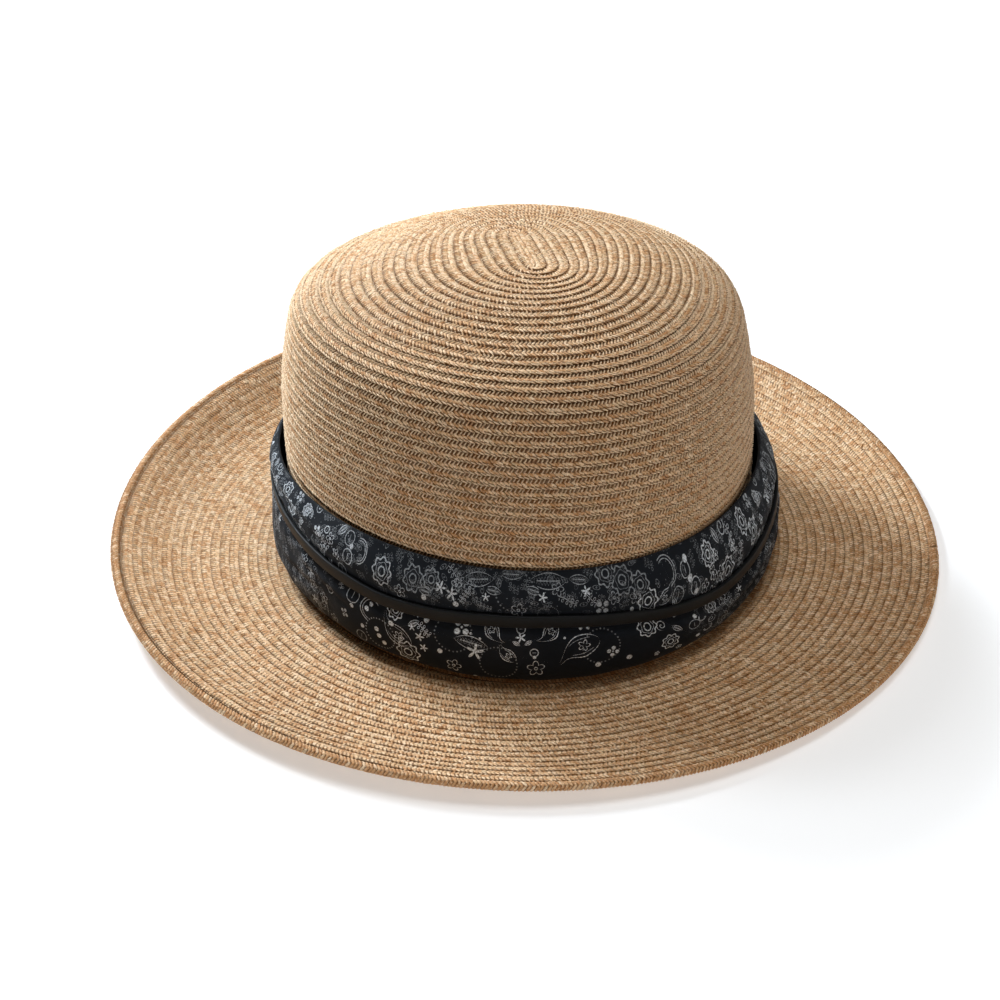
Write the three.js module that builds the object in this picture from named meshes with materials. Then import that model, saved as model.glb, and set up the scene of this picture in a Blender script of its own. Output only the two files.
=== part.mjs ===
// Wide-brim sun hat of sewn straw braid: crown, brim, doubled edge row,
// soft cotton band and a flat leather lace.
// Millimetres. +Z is up, the front of the hat faces -Y, the floor is at Z = 0.
import * as THREE from "three";

// ---- driving sizes ----
const SEGMENTS = 56; // steps round every ring of the hat
const LENGTH_EXTRA = 15.7; // half length minus half width of every oval row
const OVAL_RADIUS = 22; // row radius at which the long rows round off to ovals
const OVAL_SQUARE = 10; // how straight the sides of the smallest rows are
const TIP_RADIUS = 12; // row radius at which the tip closes
const BRAID_WALL = 2; // thickness of the lapped braid

const CROWN_EGG_COS = -1.96; // three-sided swell of the blocked crown
const CROWN_EGG_SIN = 0.51;
const CROWN_EGG_RADIUS = 80;
const CROWN_LEAN_X = -0.0204; // sideways drift per millimetre of height
const CROWN_LEAN_Y = -0.0062;
const CROWN_TILT_X = -0.0222; // slope of the crown's rows
const CROWN_TILT_Y = -0.041;
const CROWN_TILT_HEIGHT = 60; // height from which the whole slope applies

const BRIM_OUTER = 153.4;
const BRIM_CURL_HEIGHT = 7; // rise of the brim's edge over its flat part
const BRIM_WAVE = {
  even: 1.57,
  right: -4.58,
  back: 5.17,
  sides: -2.04,
  corners: -0.8,
};

const EDGE_INNER = 153.8;
const EDGE_OUTER = 157.2;
const EDGE_THICKNESS = 2.8;
const EDGE_LIFT = 0.5; // the edge row sits this far above the brim's middle

const BAND_WALL = 1.4;
const BAND_FOLD = 0.45; // how far the turned edges of the band thin out
const BAND_WAIST = 93.8; // band's radius where the lace draws it in

const LACE_GAP = 0.45; // space left between the band and the lace
const LACE_THICKNESS = 1.5;
const LACE_WIDTH = 4.8;
const LACE_HEIGHT = 29; // height of the lace's middle where it runs level

// Outside of the crown from the tip down to its foot: [radius, height].
const CROWN_OUTSIDE = [
  [15, 118.7],
  [30, 117.4],
  [45, 114.6],
  [57, 110.4],
  [68, 106.3],
  [75.3, 103.1],
  [79.6, 100.0],
  [82.4, 95.4],
  [83.6, 89],
  [85.2, 80],
  [86.6, 70],
  [87.1, 56],
  [87.0, 36],
  [87.0, 14],
  [88.2, 6.6],
  [90.6, 2.5],
];
const CROWN_TIP = 119.2;

// Inside of the crown from its foot up to the tip: [radius, height].
const CROWN_INSIDE = [
  [88.6, 2.5],
  [86.3, 6],
  [85.0, 14],
  [85.0, 36],
  [85.1, 56],
  [84.6, 69.8],
  [83.2, 79.8],
  [81.6, 88.6],
  [80.4, 94.2],
  [77.9, 98.4],
  [74.4, 101.3],
  [56.2, 108.5],
  [30, 115.4],
];
const CROWN_TIP_INSIDE = 117.2;

// Top of the brim: [radius, rise over the flat part as a share of the curl].
const BRIM_RISE = [
  [88.2, 0],
  [97, 0],
  [106, 0],
  [113, 0.02],
  [120, 0.09],
  [127, 0.17],
  [134, 0.33],
  [140, 0.53],
  [147, 0.84],
  [150.5, 1.0],
  [153.4, 1.06],
];

// Outside of the cotton band from its lower to its upper edge:
// [radius, height, share of the lace's rise and sag that the band follows].
const BAND_OUTSIDE = [
  [91.4, 4.6, 0],
  [93.5, 5.9, 0.05],
  [95.1, 8.3, 0.15],
  [95.9, 12, 0.35],
  [96.0, 18.5, 0.7],
  [95.4, 24.4, 1],
  [BAND_WAIST, 26.4, 1],
  [BAND_WAIST, 31.6, 1],
  [94.3, 35, 0.8],
  [92.4, 40, 0.4],
  [89.3, 43.9, 0],
];

// Soft dents of the band: [angle in degrees, height, depth, width, half height].
// A dent of negative depth is a puff that stands off the crown.
const BAND_DENTS = [
  [-3, 20, -2.7, 27, 30],
  [-168, 47, -2.2, 24, 9],
  [-167, 26, 1.8, 20, 15],
  [-146, 20, 0.8, 7, 10],
  [-132, 12, 0.9, 6, 8],
  [96, 18, 1.2, 10, 12],
  [141, 18, 1.0, 8, 10],
];

// Rise and sag of the lace round the hat: [angle in degrees, rise, width].
const LACE_WAVES = [
  [-35, -8.2, 27],
  [-112, -2.8, 18],
  [-162, 3, 16],
];

// ---- shapes shared by all the pieces ----
function ovalPoint(radius, angle) {
  const along = Math.sin(angle);
  const square = OVAL_SQUARE * Math.exp(-radius / OVAL_RADIUS);
  const blend = (along * (1 + square)) / (1 + square * Math.abs(along));
  const stretch = LENGTH_EXTRA * (1 - Math.exp(-radius / TIP_RADIUS));
  return [radius * Math.cos(angle), radius * along + stretch * blend];
}

function crownPoint(radius, height, angle) {
  const [ovalX, ovalY] = ovalPoint(radius, angle);
  const share = Math.min(radius / CROWN_EGG_RADIUS, 1) ** 2;
  const wave = CROWN_EGG_COS * Math.cos(3 * angle) + CROWN_EGG_SIN * Math.sin(3 * angle);
  const x = ovalX + share * wave * Math.cos(angle) + CROWN_LEAN_X * height;
  const y = ovalY + share * wave * Math.sin(angle) + CROWN_LEAN_Y * height;
  const slope = Math.min(Math.max(height / CROWN_TILT_HEIGHT, 0), 1);
  const z = height + slope * (CROWN_TILT_X * x + CROWN_TILT_Y * y);
  return new THREE.Vector3(x, y, z);
}

function brimWave(angle) {
  const wave =
    BRIM_WAVE.even +
    BRIM_WAVE.right * Math.cos(angle) +
    BRIM_WAVE.back * Math.sin(angle) +
    BRIM_WAVE.sides * Math.cos(2 * angle) +
    BRIM_WAVE.corners * Math.sin(2 * angle);
  return BRIM_CURL_HEIGHT + wave;
}

function brimRise(radius) {
  const last = BRIM_RISE.length - 1;
  const found = BRIM_RISE.findIndex((row) => row[0] >= radius);
  const upper = found < 0 ? last : Math.max(found, 1);
  const [r0, rise0] = BRIM_RISE[upper - 1];
  const [r1, rise1] = BRIM_RISE[upper];
  return rise0 + ((rise1 - rise0) * (radius - r0)) / (r1 - r0);
}

function brimPoint(radius, above, angle) {
  const [x, y] = ovalPoint(radius, angle);
  return new THREE.Vector3(x, y, above + brimRise(radius) * brimWave(angle));
}

function ring(place) {
  const points = [];
  for (let step = 0; step < SEGMENTS; step += 1) {
    points.push(place((2 * Math.PI * step) / SEGMENTS));
  }
  return points;
}

// Skins a list of rings. A closed loop of rings makes a hoop; an open list
// is closed by the two tip points.
function skin(rings, tips) {
  const positions = [];
  const faces = [];
  const start = tips ? 1 : 0;
  if (tips) {
    positions.push(tips[0].x, tips[0].y, tips[0].z);
  }
  for (const points of rings) {
    for (const point of points) {
      positions.push(point.x, point.y, point.z);
    }
  }
  const index = (row, step) => start + row * SEGMENTS + (step % SEGMENTS);
  const strips = tips ? rings.length - 1 : rings.length;
  for (let row = 0; row < strips; row += 1) {
    const next = (row + 1) % rings.length;
    for (let step = 0; step < SEGMENTS; step += 1) {
      faces.push(index(row, step), index(next, step), index(next, step + 1));
      faces.push(index(row, step), index(next, step + 1), index(row, step + 1));
    }
  }
  if (tips) {
    const end = start + rings.length * SEGMENTS;
    positions.push(tips[1].x, tips[1].y, tips[1].z);
    for (let step = 0; step < SEGMENTS; step += 1) {
      faces.push(0, index(0, step), index(0, step + 1));
      faces.push(index(rings.length - 1, step), end, index(rings.length - 1, step + 1));
    }
  }
  const geometry = new THREE.BufferGeometry();
  geometry.setAttribute("position", new THREE.Float32BufferAttribute(positions, 3));
  geometry.setIndex(faces);
  geometry.computeVertexNormals();
  return geometry;
}

function piece(name, geometry, color, roughness) {
  const material = new THREE.MeshStandardMaterial({ color, roughness, metalness: 0 });
  const mesh = new THREE.Mesh(geometry, material);
  mesh.name = name;
  return mesh;
}

// ---- the pieces ----
function crownShape() {
  const rows = [...CROWN_OUTSIDE, ...CROWN_INSIDE];
  const rings = rows.map(([radius, height]) =>
    ring((angle) => crownPoint(radius, height, angle)),
  );
  const tips = [crownPoint(0, CROWN_TIP, 0), crownPoint(0, CROWN_TIP_INSIDE, 0)];
  return skin(rings, tips);
}

function brimShape() {
  const top = BRIM_RISE.map(([radius]) =>
    ring((angle) => brimPoint(radius, BRAID_WALL, angle)),
  );
  const under = BRIM_RISE.map(([radius]) => ring((angle) => brimPoint(radius, 0, angle)));
  return skin([...top, ...under.reverse()]);
}

function edgeShape() {
  const middle = (EDGE_INNER + EDGE_OUTER) / 2;
  const half = (EDGE_OUTER - EDGE_INNER) / 2;
  const centre = BRAID_WALL / 2 + EDGE_LIFT;
  const corner = Math.SQRT1_2;
  const outline = [
    [0, 1],
    [corner, corner],
    [1, 0],
    [corner, -corner],
    [0, -1],
    [-corner, -corner],
    [-1, 0],
    [-corner, corner],
  ];
  const rings = outline.map(([out, up]) =>
    ring((angle) => {
      const [x, y] = ovalPoint(middle + out * half, angle);
      const base = brimRise(BRIM_OUTER) * brimWave(angle);
      return new THREE.Vector3(x, y, base + centre + (up * EDGE_THICKNESS) / 2);
    }),
  );
  return skin(rings);
}

function bell(angle, degrees, width) {
  const turn = angle - THREE.MathUtils.degToRad(degrees);
  const wrapped = Math.atan2(Math.sin(turn), Math.cos(turn));
  const across = wrapped / THREE.MathUtils.degToRad(width);
  return Math.exp(-across * across);
}

function laceRise(angle) {
  return LACE_WAVES.reduce(
    (total, [degrees, rise, width]) => total + rise * bell(angle, degrees, width),
    0,
  );
}

function bandPoint(radius, height, angle, inward) {
  let out = radius - inward;
  for (const [degrees, middle, deep, width, tall] of BAND_DENTS) {
    const along = (height - middle) / tall;
    out -= deep * bell(angle, degrees, width) * Math.exp(-along * along);
  }
  return crownPoint(out, height, angle);
}

function bandShape() {
  const last = BAND_OUTSIDE.length - 1;
  const outside = BAND_OUTSIDE.map(([radius, height, follow]) =>
    ring((angle) => bandPoint(radius, height + follow * laceRise(angle), angle, 0)),
  );
  const inside = BAND_OUTSIDE.map(([radius, height, follow], row) => {
    const lift = row === 0 ? BAND_FOLD : 0;
    const lower = row === last ? BAND_FOLD : 0;
    return ring((angle) => {
      const level = height + follow * laceRise(angle) + lift - lower;
      return bandPoint(radius, level, angle, BAND_WALL);
    });
  });
  return skin([...outside.reverse(), ...inside]);
}

function laceShape() {
  const half = LACE_WIDTH / 2;
  const soft = LACE_THICKNESS / 3;
  const outline = [
    [0, half],
    [LACE_THICKNESS - soft, half],
    [LACE_THICKNESS, half - soft],
    [LACE_THICKNESS, soft - half],
    [LACE_THICKNESS - soft, -half],
    [0, -half],
  ];
  const rings = outline.map(([out, up]) =>
    ring((angle) => {
      const level = LACE_HEIGHT + laceRise(angle) + up;
      return bandPoint(BAND_WAIST, level, angle, -LACE_GAP - out);
    }),
  );
  return skin(rings);
}

const hat = new THREE.Group();
hat.name = "sun_hat";
hat.add(
  piece("crown", crownShape(), 0xc8a273, 0.7),
  piece("brim", brimShape(), 0xc8a273, 0.7),
  piece("brim_edge", edgeShape(), 0xb98f5d, 0.7),
  piece("band", bandShape(), 0x14171c, 0.85),
  piece("strap", laceShape(), 0x1b1613, 0.45),
);

export default hat;
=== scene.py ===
"""Wide-brim sun hat: sewn straw braid, a printed cotton band and a flat leather lace.

Lengths are worked out in millimetres and turned into metres when a mesh is made. +Z is up
and the front of the hat faces -Y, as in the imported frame.
"""

from __future__ import annotations

import logging
import math
from dataclasses import dataclass, field
from enum import Enum
from typing import Callable, Sequence

import bpy
import numpy as np
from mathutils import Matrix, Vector


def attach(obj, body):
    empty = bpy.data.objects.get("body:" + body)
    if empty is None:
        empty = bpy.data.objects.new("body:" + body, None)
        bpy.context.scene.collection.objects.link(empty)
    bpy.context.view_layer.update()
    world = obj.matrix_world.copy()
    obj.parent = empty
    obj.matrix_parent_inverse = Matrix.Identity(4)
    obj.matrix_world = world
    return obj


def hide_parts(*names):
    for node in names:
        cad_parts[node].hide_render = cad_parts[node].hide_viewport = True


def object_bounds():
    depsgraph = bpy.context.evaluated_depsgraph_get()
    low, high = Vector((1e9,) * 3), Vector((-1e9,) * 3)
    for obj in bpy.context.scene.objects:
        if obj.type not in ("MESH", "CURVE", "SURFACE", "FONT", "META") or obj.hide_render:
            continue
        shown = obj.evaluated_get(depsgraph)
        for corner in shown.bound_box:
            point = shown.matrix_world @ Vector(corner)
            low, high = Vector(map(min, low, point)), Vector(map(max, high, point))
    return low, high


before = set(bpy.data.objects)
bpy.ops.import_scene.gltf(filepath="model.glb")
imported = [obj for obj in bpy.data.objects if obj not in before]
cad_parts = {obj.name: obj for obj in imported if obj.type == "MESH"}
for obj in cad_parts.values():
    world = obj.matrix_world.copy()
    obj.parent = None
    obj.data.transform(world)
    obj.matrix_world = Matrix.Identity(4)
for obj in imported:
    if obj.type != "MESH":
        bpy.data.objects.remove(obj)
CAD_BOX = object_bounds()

LOG = logging.getLogger("sun_hat")
MM = 0.001
FULL_TURN = 2.0 * math.pi
Place = Callable[[np.ndarray, np.ndarray, np.ndarray], np.ndarray]
Colour = tuple[float, float, float]
Figure = tuple[float, float, float, float, float]


class Slot(Enum):
    """The record's material slots."""

    STRAW = "straw"
    COTTON = "band_cotton"
    LEATHER = "lace_leather"


# --- The blocked shape that every piece follows ---


def bell(angle: np.ndarray, degrees: float, width: float) -> np.ndarray:
    """A smooth bump round the hat.

    Args:
        angle: angles round the hat, in radians.
        degrees: where the bump stands.
        width: how wide it is, in degrees.

    Returns:
        1 at the bump's middle, falling to 0 on both sides.
    """
    turn = angle - math.radians(degrees)
    wrapped = np.arctan2(np.sin(turn), np.cos(turn))
    return np.exp(-((wrapped / math.radians(width)) ** 2))


@dataclass(frozen=True)
class HatForm:
    """The hat's block: oval rows, an egg-shaped leaning crown and a curled brim."""

    length_extra: float = 15.7
    oval_radius: float = 22.0
    oval_square: float = 10.0
    tip_radius: float = 12.0
    tip_stretch: float = 1.08
    egg_cos: float = -1.96
    egg_sin: float = 0.51
    egg_radius: float = 80.0
    lean: tuple[float, float] = (-0.0204, -0.0062)
    tilt: tuple[float, float] = (-0.0222, -0.041)
    tilt_height: float = 60.0
    tip_turn: float = math.radians(18.0)
    tip_shift: tuple[float, float] = (1.2, -2.4)
    tip_reach: float = 27.0
    curl_height: float = 7.0
    wave: tuple[float, ...] = (1.57, -4.58, 5.17, -2.04, -0.8)
    rise: tuple[tuple[float, float], ...] = (
        (88.2, 0), (97, 0), (106, 0), (113, 0.02), (120, 0.09), (127, 0.17), (134, 0.33),
        (140, 0.53), (147, 0.84), (150.5, 1), (153.4, 1.06),
    )
    lace_height: float = 29.0
    lace_waves: tuple[tuple[float, float, float], ...] = (
        (-35, -8.2, 27), (-112, -2.8, 18), (-162, 3, 16),
    )

    def oval(self, radius: np.ndarray, angle: np.ndarray) -> tuple[np.ndarray, np.ndarray]:
        """A point of one oval row.

        Args:
            radius: half the row's width.
            angle: the angle round the row, in radians.

        Returns:
            x and y of the point.
        """
        along = np.sin(angle)
        square = self.oval_square * np.exp(-radius / self.oval_radius)
        blend = along * (1 + square) / (1 + square * np.abs(along))
        short = (1 - self.tip_stretch) * np.exp(-radius / self.tip_radius)
        stretch = self.length_extra * (1 - short)
        return radius * np.cos(angle), radius * along + stretch * blend

    def crown(self, radius: np.ndarray, height: np.ndarray, angle: np.ndarray) -> np.ndarray:
        """A point of the crown.

        Args:
            radius: half the width of the row it lies on.
            height: the row's height before the crown's rows slope.
            angle: the angle round the row.

        Returns:
            The points, with x, y and z on the last axis.
        """
        x, y = self.oval(radius, angle)
        near_tip = 1 / (1 + (np.abs(radius) / self.tip_reach) ** 4)
        turn = self.tip_turn * near_tip
        x, y = x * np.cos(turn) - y * np.sin(turn), x * np.sin(turn) + y * np.cos(turn)
        share = np.minimum(radius / self.egg_radius, 1) ** 2
        egg = share * (self.egg_cos * np.cos(3 * angle) + self.egg_sin * np.sin(3 * angle))
        x = x + egg * np.cos(angle) + self.lean[0] * height + self.tip_shift[0] * near_tip
        y = y + egg * np.sin(angle) + self.lean[1] * height + self.tip_shift[1] * near_tip
        slope = np.clip(height / self.tilt_height, 0, 1)
        z = height + slope * (self.tilt[0] * x + self.tilt[1] * y)
        return np.stack(np.broadcast_arrays(x, y, z), axis=-1)

    def brim(self, radius: np.ndarray, above: np.ndarray, angle: np.ndarray) -> np.ndarray:
        """A point of the brim.

        Args:
            radius: half the width of the row it lies on.
            above: how far it lies above the brim's underside.
            angle: the angle round the row.

        Returns:
            The points, with x, y and z on the last axis.
        """
        x, y = self.oval(radius, angle)
        knots = np.array(self.rise)
        even, right, back, sides, corners = self.wave
        curl = (
            self.curl_height
            + even
            + right * np.cos(angle)
            + back * np.sin(angle)
            + sides * np.cos(2 * angle)
            + corners * np.sin(2 * angle)
        )
        z = above + smooth_through(knots[:, 0], knots[:, 1], radius) * curl
        return np.stack(np.broadcast_arrays(x, y, z), axis=-1)

    def lace_rise(self, angle: np.ndarray) -> np.ndarray:
        """How far the lace rises or sags at an angle round the hat."""
        return sum(rise * bell(angle, at, width) for at, rise, width in self.lace_waves)


def smooth_through(known: np.ndarray, values: np.ndarray, at: np.ndarray) -> np.ndarray:
    """A smooth curve through known values, level beyond its ends.

    Args:
        known: where the values are known, rising.
        values: the known values.
        at: where the curve is wanted.

    Returns:
        The curve's values.
    """
    slopes = np.gradient(values, known)
    at = np.clip(at, known[0], known[-1])
    left = np.clip(np.searchsorted(known, at, side="right") - 1, 0, len(known) - 2)
    span = known[left + 1] - known[left]
    t = (at - known[left]) / span
    start = (2 * t**3 - 3 * t**2 + 1) * values[left] + (t**3 - 2 * t**2 + t) * span * slopes[left]
    end = (3 * t**2 - 2 * t**3) * values[left + 1] + (t**3 - t**2) * span * slopes[left + 1]
    return start + end


def distances(line: np.ndarray) -> np.ndarray:
    """How far along a line of points each of them lies."""
    steps = np.linalg.norm(np.diff(line, axis=0), axis=1)
    return np.concatenate([[0.0], np.cumsum(steps)])


class Profile:
    """A smooth cut through a piece, measured by the distance along it."""

    SAMPLES = 1200

    def __init__(self, knots: Sequence[tuple[float, float]]) -> None:
        """Draws a smooth cut through known points and measures it.

        Args:
            knots: (radius, height) points from the inner to the outer end.
        """
        known = np.array(knots, float)
        at = distances(known)
        fine = np.linspace(0, at[-1], self.SAMPLES)
        self.radius = smooth_through(at, known[:, 0], fine)
        self.height = smooth_through(at, known[:, 1], fine)
        self.along = distances(np.stack([self.radius, self.height], axis=1))
        run, drop = np.gradient(self.radius, self.along), np.gradient(self.height, self.along)
        size = np.hypot(run, drop)
        self.out_radius, self.out_height = -drop / size, run / size

    @property
    def length(self) -> float:
        """The cut's whole length."""
        return float(self.along[-1])

    def at(self, along: np.ndarray, lift: np.ndarray) -> tuple[np.ndarray, np.ndarray]:
        """A point of the cut, lifted off it.

        Args:
            along: the distance along the cut.
            lift: how far the point stands off it.

        Returns:
            Its radius and height.
        """
        radius = np.interp(along, self.along, self.radius)
        height = np.interp(along, self.along, self.height)
        radius = radius + lift * np.interp(along, self.along, self.out_radius)
        return radius, height + lift * np.interp(along, self.along, self.out_height)


# --- Mesh helpers ---


def new_object(
    name: str,
    points: np.ndarray,
    faces: np.ndarray,
    corner_uv: np.ndarray | None = None,
) -> bpy.types.Object:
    """Makes a smooth mesh object.

    Args:
        name: the piece's name.
        points: its points in millimetres.
        faces: four point numbers a face.
        corner_uv: UV places, one for each face corner in turn.

    Returns:
        The object, linked to the scene.
    """
    mesh = bpy.data.meshes.new(name)
    mesh.vertices.add(len(points))
    mesh.vertices.foreach_set("co", (points * MM).astype(np.float32).ravel())
    mesh.loops.add(faces.size)
    mesh.loops.foreach_set("vertex_index", faces.astype(np.int32).ravel())
    mesh.polygons.add(len(faces))
    mesh.polygons.foreach_set("loop_start", np.arange(0, faces.size, faces.shape[1]))
    if corner_uv is not None:
        layer = mesh.uv_layers.new(name="Lay")
        layer.uv.foreach_set("vector", corner_uv.astype(np.float32).ravel())
    mesh.update(calc_edges=True)
    mesh.validate()
    mesh.shade_smooth()
    obj = bpy.data.objects.new(name, mesh)
    bpy.context.collection.objects.link(obj)
    return obj


def quads(rows: int, columns: int) -> np.ndarray:
    """Faces of a grid of points numbered row by row.

    Args:
        rows: how many rows of points.
        columns: how many points a row.

    Returns:
        Four point numbers a face.
    """
    first, step = np.arange(rows - 1), np.arange(columns - 1)
    near = (first[:, None] * columns + step[None, :]).ravel()
    far = near + columns
    return np.stack([near, far, far + 1, near + 1], axis=1)


def closed_hoop(
    name: str, grid: np.ndarray, lengths: np.ndarray, across: np.ndarray
) -> bpy.types.Object:
    """Makes a ring-shaped piece closed both round the hat and round its section.

    Args:
        name: the piece's name.
        grid: points by step round the hat and step round the section.
        lengths: the distance round the hat at each step, and once more at the end.
        across: where each strip of the section starts and ends.

    Returns:
        The object, with its lay in the UV map.
    """
    steps, width = grid.shape[:2]
    i, j = np.meshgrid(np.arange(steps), np.arange(width), indexing="ij")
    ring, side = np.ravel(i), np.ravel(j)
    corners = ((0, 0), (1, 0), (1, 1), (0, 1))
    faces = np.stack(
        [(ring + a) % steps * width + (side + b) % width for a, b in corners], axis=1
    )
    lay = np.stack(
        [np.stack([lengths[ring + a], across[side, b]], axis=1) for a, b in corners], axis=1
    )
    return new_object(name, grid.reshape(-1, 3), faces, lay.reshape(-1, 2))


def finish_piece(obj: bpy.types.Object, node: str) -> bpy.types.Object:
    """Rides a piece on the body, hides the CAD node that it stands for, and reports it.

    Args:
        obj: the piece.
        node: the CAD node that it stands for.

    Returns:
        The same piece.
    """
    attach(obj, "root")
    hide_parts(node)
    triangles = sum(len(p.vertices) - 2 for p in obj.data.polygons)
    LOG.info("%s: %d triangles", obj.name, triangles)
    return obj


# --- Node helpers ---


class Signal:
    """A socket of a node tree, with arithmetic."""

    def __init__(self, nodes: Nodes, socket: bpy.types.NodeSocket) -> None:
        """Keeps a socket together with its tree.

        Args:
            nodes: the tree.
            socket: the output that carries the value.
        """
        self.nodes = nodes
        self.socket = socket

    def _math(self, operation: str, *others: Signal | float) -> Signal:
        """Adds one Math node on this signal and others."""
        return self.nodes.math(operation, self, *others)

    def __add__(self, other: Signal | float) -> Signal:
        """self + other"""
        return self._math("ADD", other)

    __radd__ = __add__

    def __sub__(self, other: Signal | float) -> Signal:
        """self - other"""
        return self._math("SUBTRACT", other)

    def __rsub__(self, other: float) -> Signal:
        """other - self"""
        return self.nodes.math("SUBTRACT", other, self)

    def __mul__(self, other: Signal | float) -> Signal:
        """self * other"""
        return self._math("MULTIPLY", other)

    __rmul__ = __mul__

    def __truediv__(self, other: Signal | float) -> Signal:
        """self / other"""
        return self._math("DIVIDE", other)

    def __rtruediv__(self, other: float) -> Signal:
        """other / self"""
        return self.nodes.math("DIVIDE", other, self)

    def __pow__(self, other: float) -> Signal:
        """self ** other"""
        return self._math("POWER", other)

    def __neg__(self) -> Signal:
        """-self"""
        return self._math("MULTIPLY", -1.0)

    def __gt__(self, other: Signal | float) -> Signal:
        """1 where self is more than other"""
        return self._math("GREATER_THAN", other)

    def __lt__(self, other: Signal | float) -> Signal:
        """1 where self is less than other"""
        return self._math("LESS_THAN", other)

    def floor(self) -> Signal:
        """The whole part."""
        return self._math("FLOOR")

    def fract(self) -> Signal:
        """The part after the point."""
        return self._math("FRACT")

    def abs(self) -> Signal:
        """The size without its sign."""
        return self._math("ABSOLUTE")

    def sin(self) -> Signal:
        """The sine."""
        return self._math("SINE")

    def cos(self) -> Signal:
        """The cosine."""
        return self._math("COSINE")

    def atan2(self, other: Signal) -> Signal:
        """The angle of (other, self)."""
        return self._math("ARCTAN2", other)

    def least(self, other: Signal | float) -> Signal:
        """The smaller of the two."""
        return self._math("MINIMUM", other)

    def most(self, other: Signal | float) -> Signal:
        """The larger of the two."""
        return self._math("MAXIMUM", other)

    def root(self) -> Signal:
        """The square root."""
        return self._math("SQRT")

    def ramp(self, low: float, high: float) -> Signal:
        """Smooth step from 0 at low to 1 at high."""
        return self.nodes.ramp(self, low, high)


Value = Signal | float


class Nodes:
    """Adds nodes to one tree and joins them."""

    def __init__(self, tree: bpy.types.NodeTree) -> None:
        """Keeps the tree."""
        self.tree = tree

    def node(self, kind: str, settings: dict | None = None, **sockets) -> bpy.types.Node:
        """Adds a node.

        Args:
            kind: the node's type.
            settings: its settings, which are set first.
            sockets: values or signals by socket name, with _ for a space.

        Returns:
            The node.
        """
        made = self.tree.nodes.new(kind)
        for key, value in (settings or {}).items():
            setattr(made, key, value)
        for key, value in sockets.items():
            self.plug(made.inputs[key.replace("_", " ")], value)
        return made

    def plug(self, socket: bpy.types.NodeSocket, value: object) -> None:
        """Links a signal to a socket, or sets the socket's own value.

        Args:
            socket: the input.
            value: a signal, or a number or colour for the socket itself.
        """
        if isinstance(value, Signal):
            self.tree.links.new(value.socket, socket)
        elif socket.type == "RGBA" and len(value) == 3:
            socket.default_value = (*value, 1.0)
        else:
            socket.default_value = value

    def signal(self, node: bpy.types.Node, output: str | int = 0) -> Signal:
        """One output of a node as a signal."""
        return Signal(self, node.outputs[output])

    def worked(self, kind: str, operation: str, values: Sequence[object]) -> bpy.types.Node:
        """Adds a node that works something out.

        Args:
            kind: the node's type.
            operation: what it does.
            values: its inputs in turn.

        Returns:
            The node.
        """
        made = self.node(kind, {"operation": operation})
        for socket, value in zip(made.inputs, values):
            self.plug(socket, value)
        return made

    def math(self, operation: str, *values: Value) -> Signal:
        """The result of a Math node on values."""
        return self.signal(self.worked("ShaderNodeMath", operation, values))

    def vectors(self, operation: str, *values: object, output: str = "Vector") -> Signal:
        """The result of a Vector Math node on vectors."""
        return self.signal(self.worked("ShaderNodeVectorMath", operation, values), output)

    def ramp(self, value: Signal, low: float, high: float) -> Signal:
        """Smooth step of a value.

        Args:
            value: the value.
            low: where the step is still 0.
            high: where it has reached 1.

        Returns:
            The step.
        """
        made = self.node(
            "ShaderNodeMapRange",
            {"interpolation_type": "SMOOTHSTEP"},
            Value=value,
            From_Min=low,
            From_Max=high,
        )
        return self.signal(made)

    def axes(self, vector: Signal) -> tuple[Signal, Signal, Signal]:
        """The three parts of a vector."""
        made = self.node("ShaderNodeSeparateXYZ", Vector=vector)
        return tuple(self.signal(made, k) for k in range(3))

    def vector(self, x: Value, y: Value, z: Value = 0.0) -> Signal:
        """A vector of three parts."""
        return self.signal(self.node("ShaderNodeCombineXYZ", X=x, Y=y, Z=z))


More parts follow.
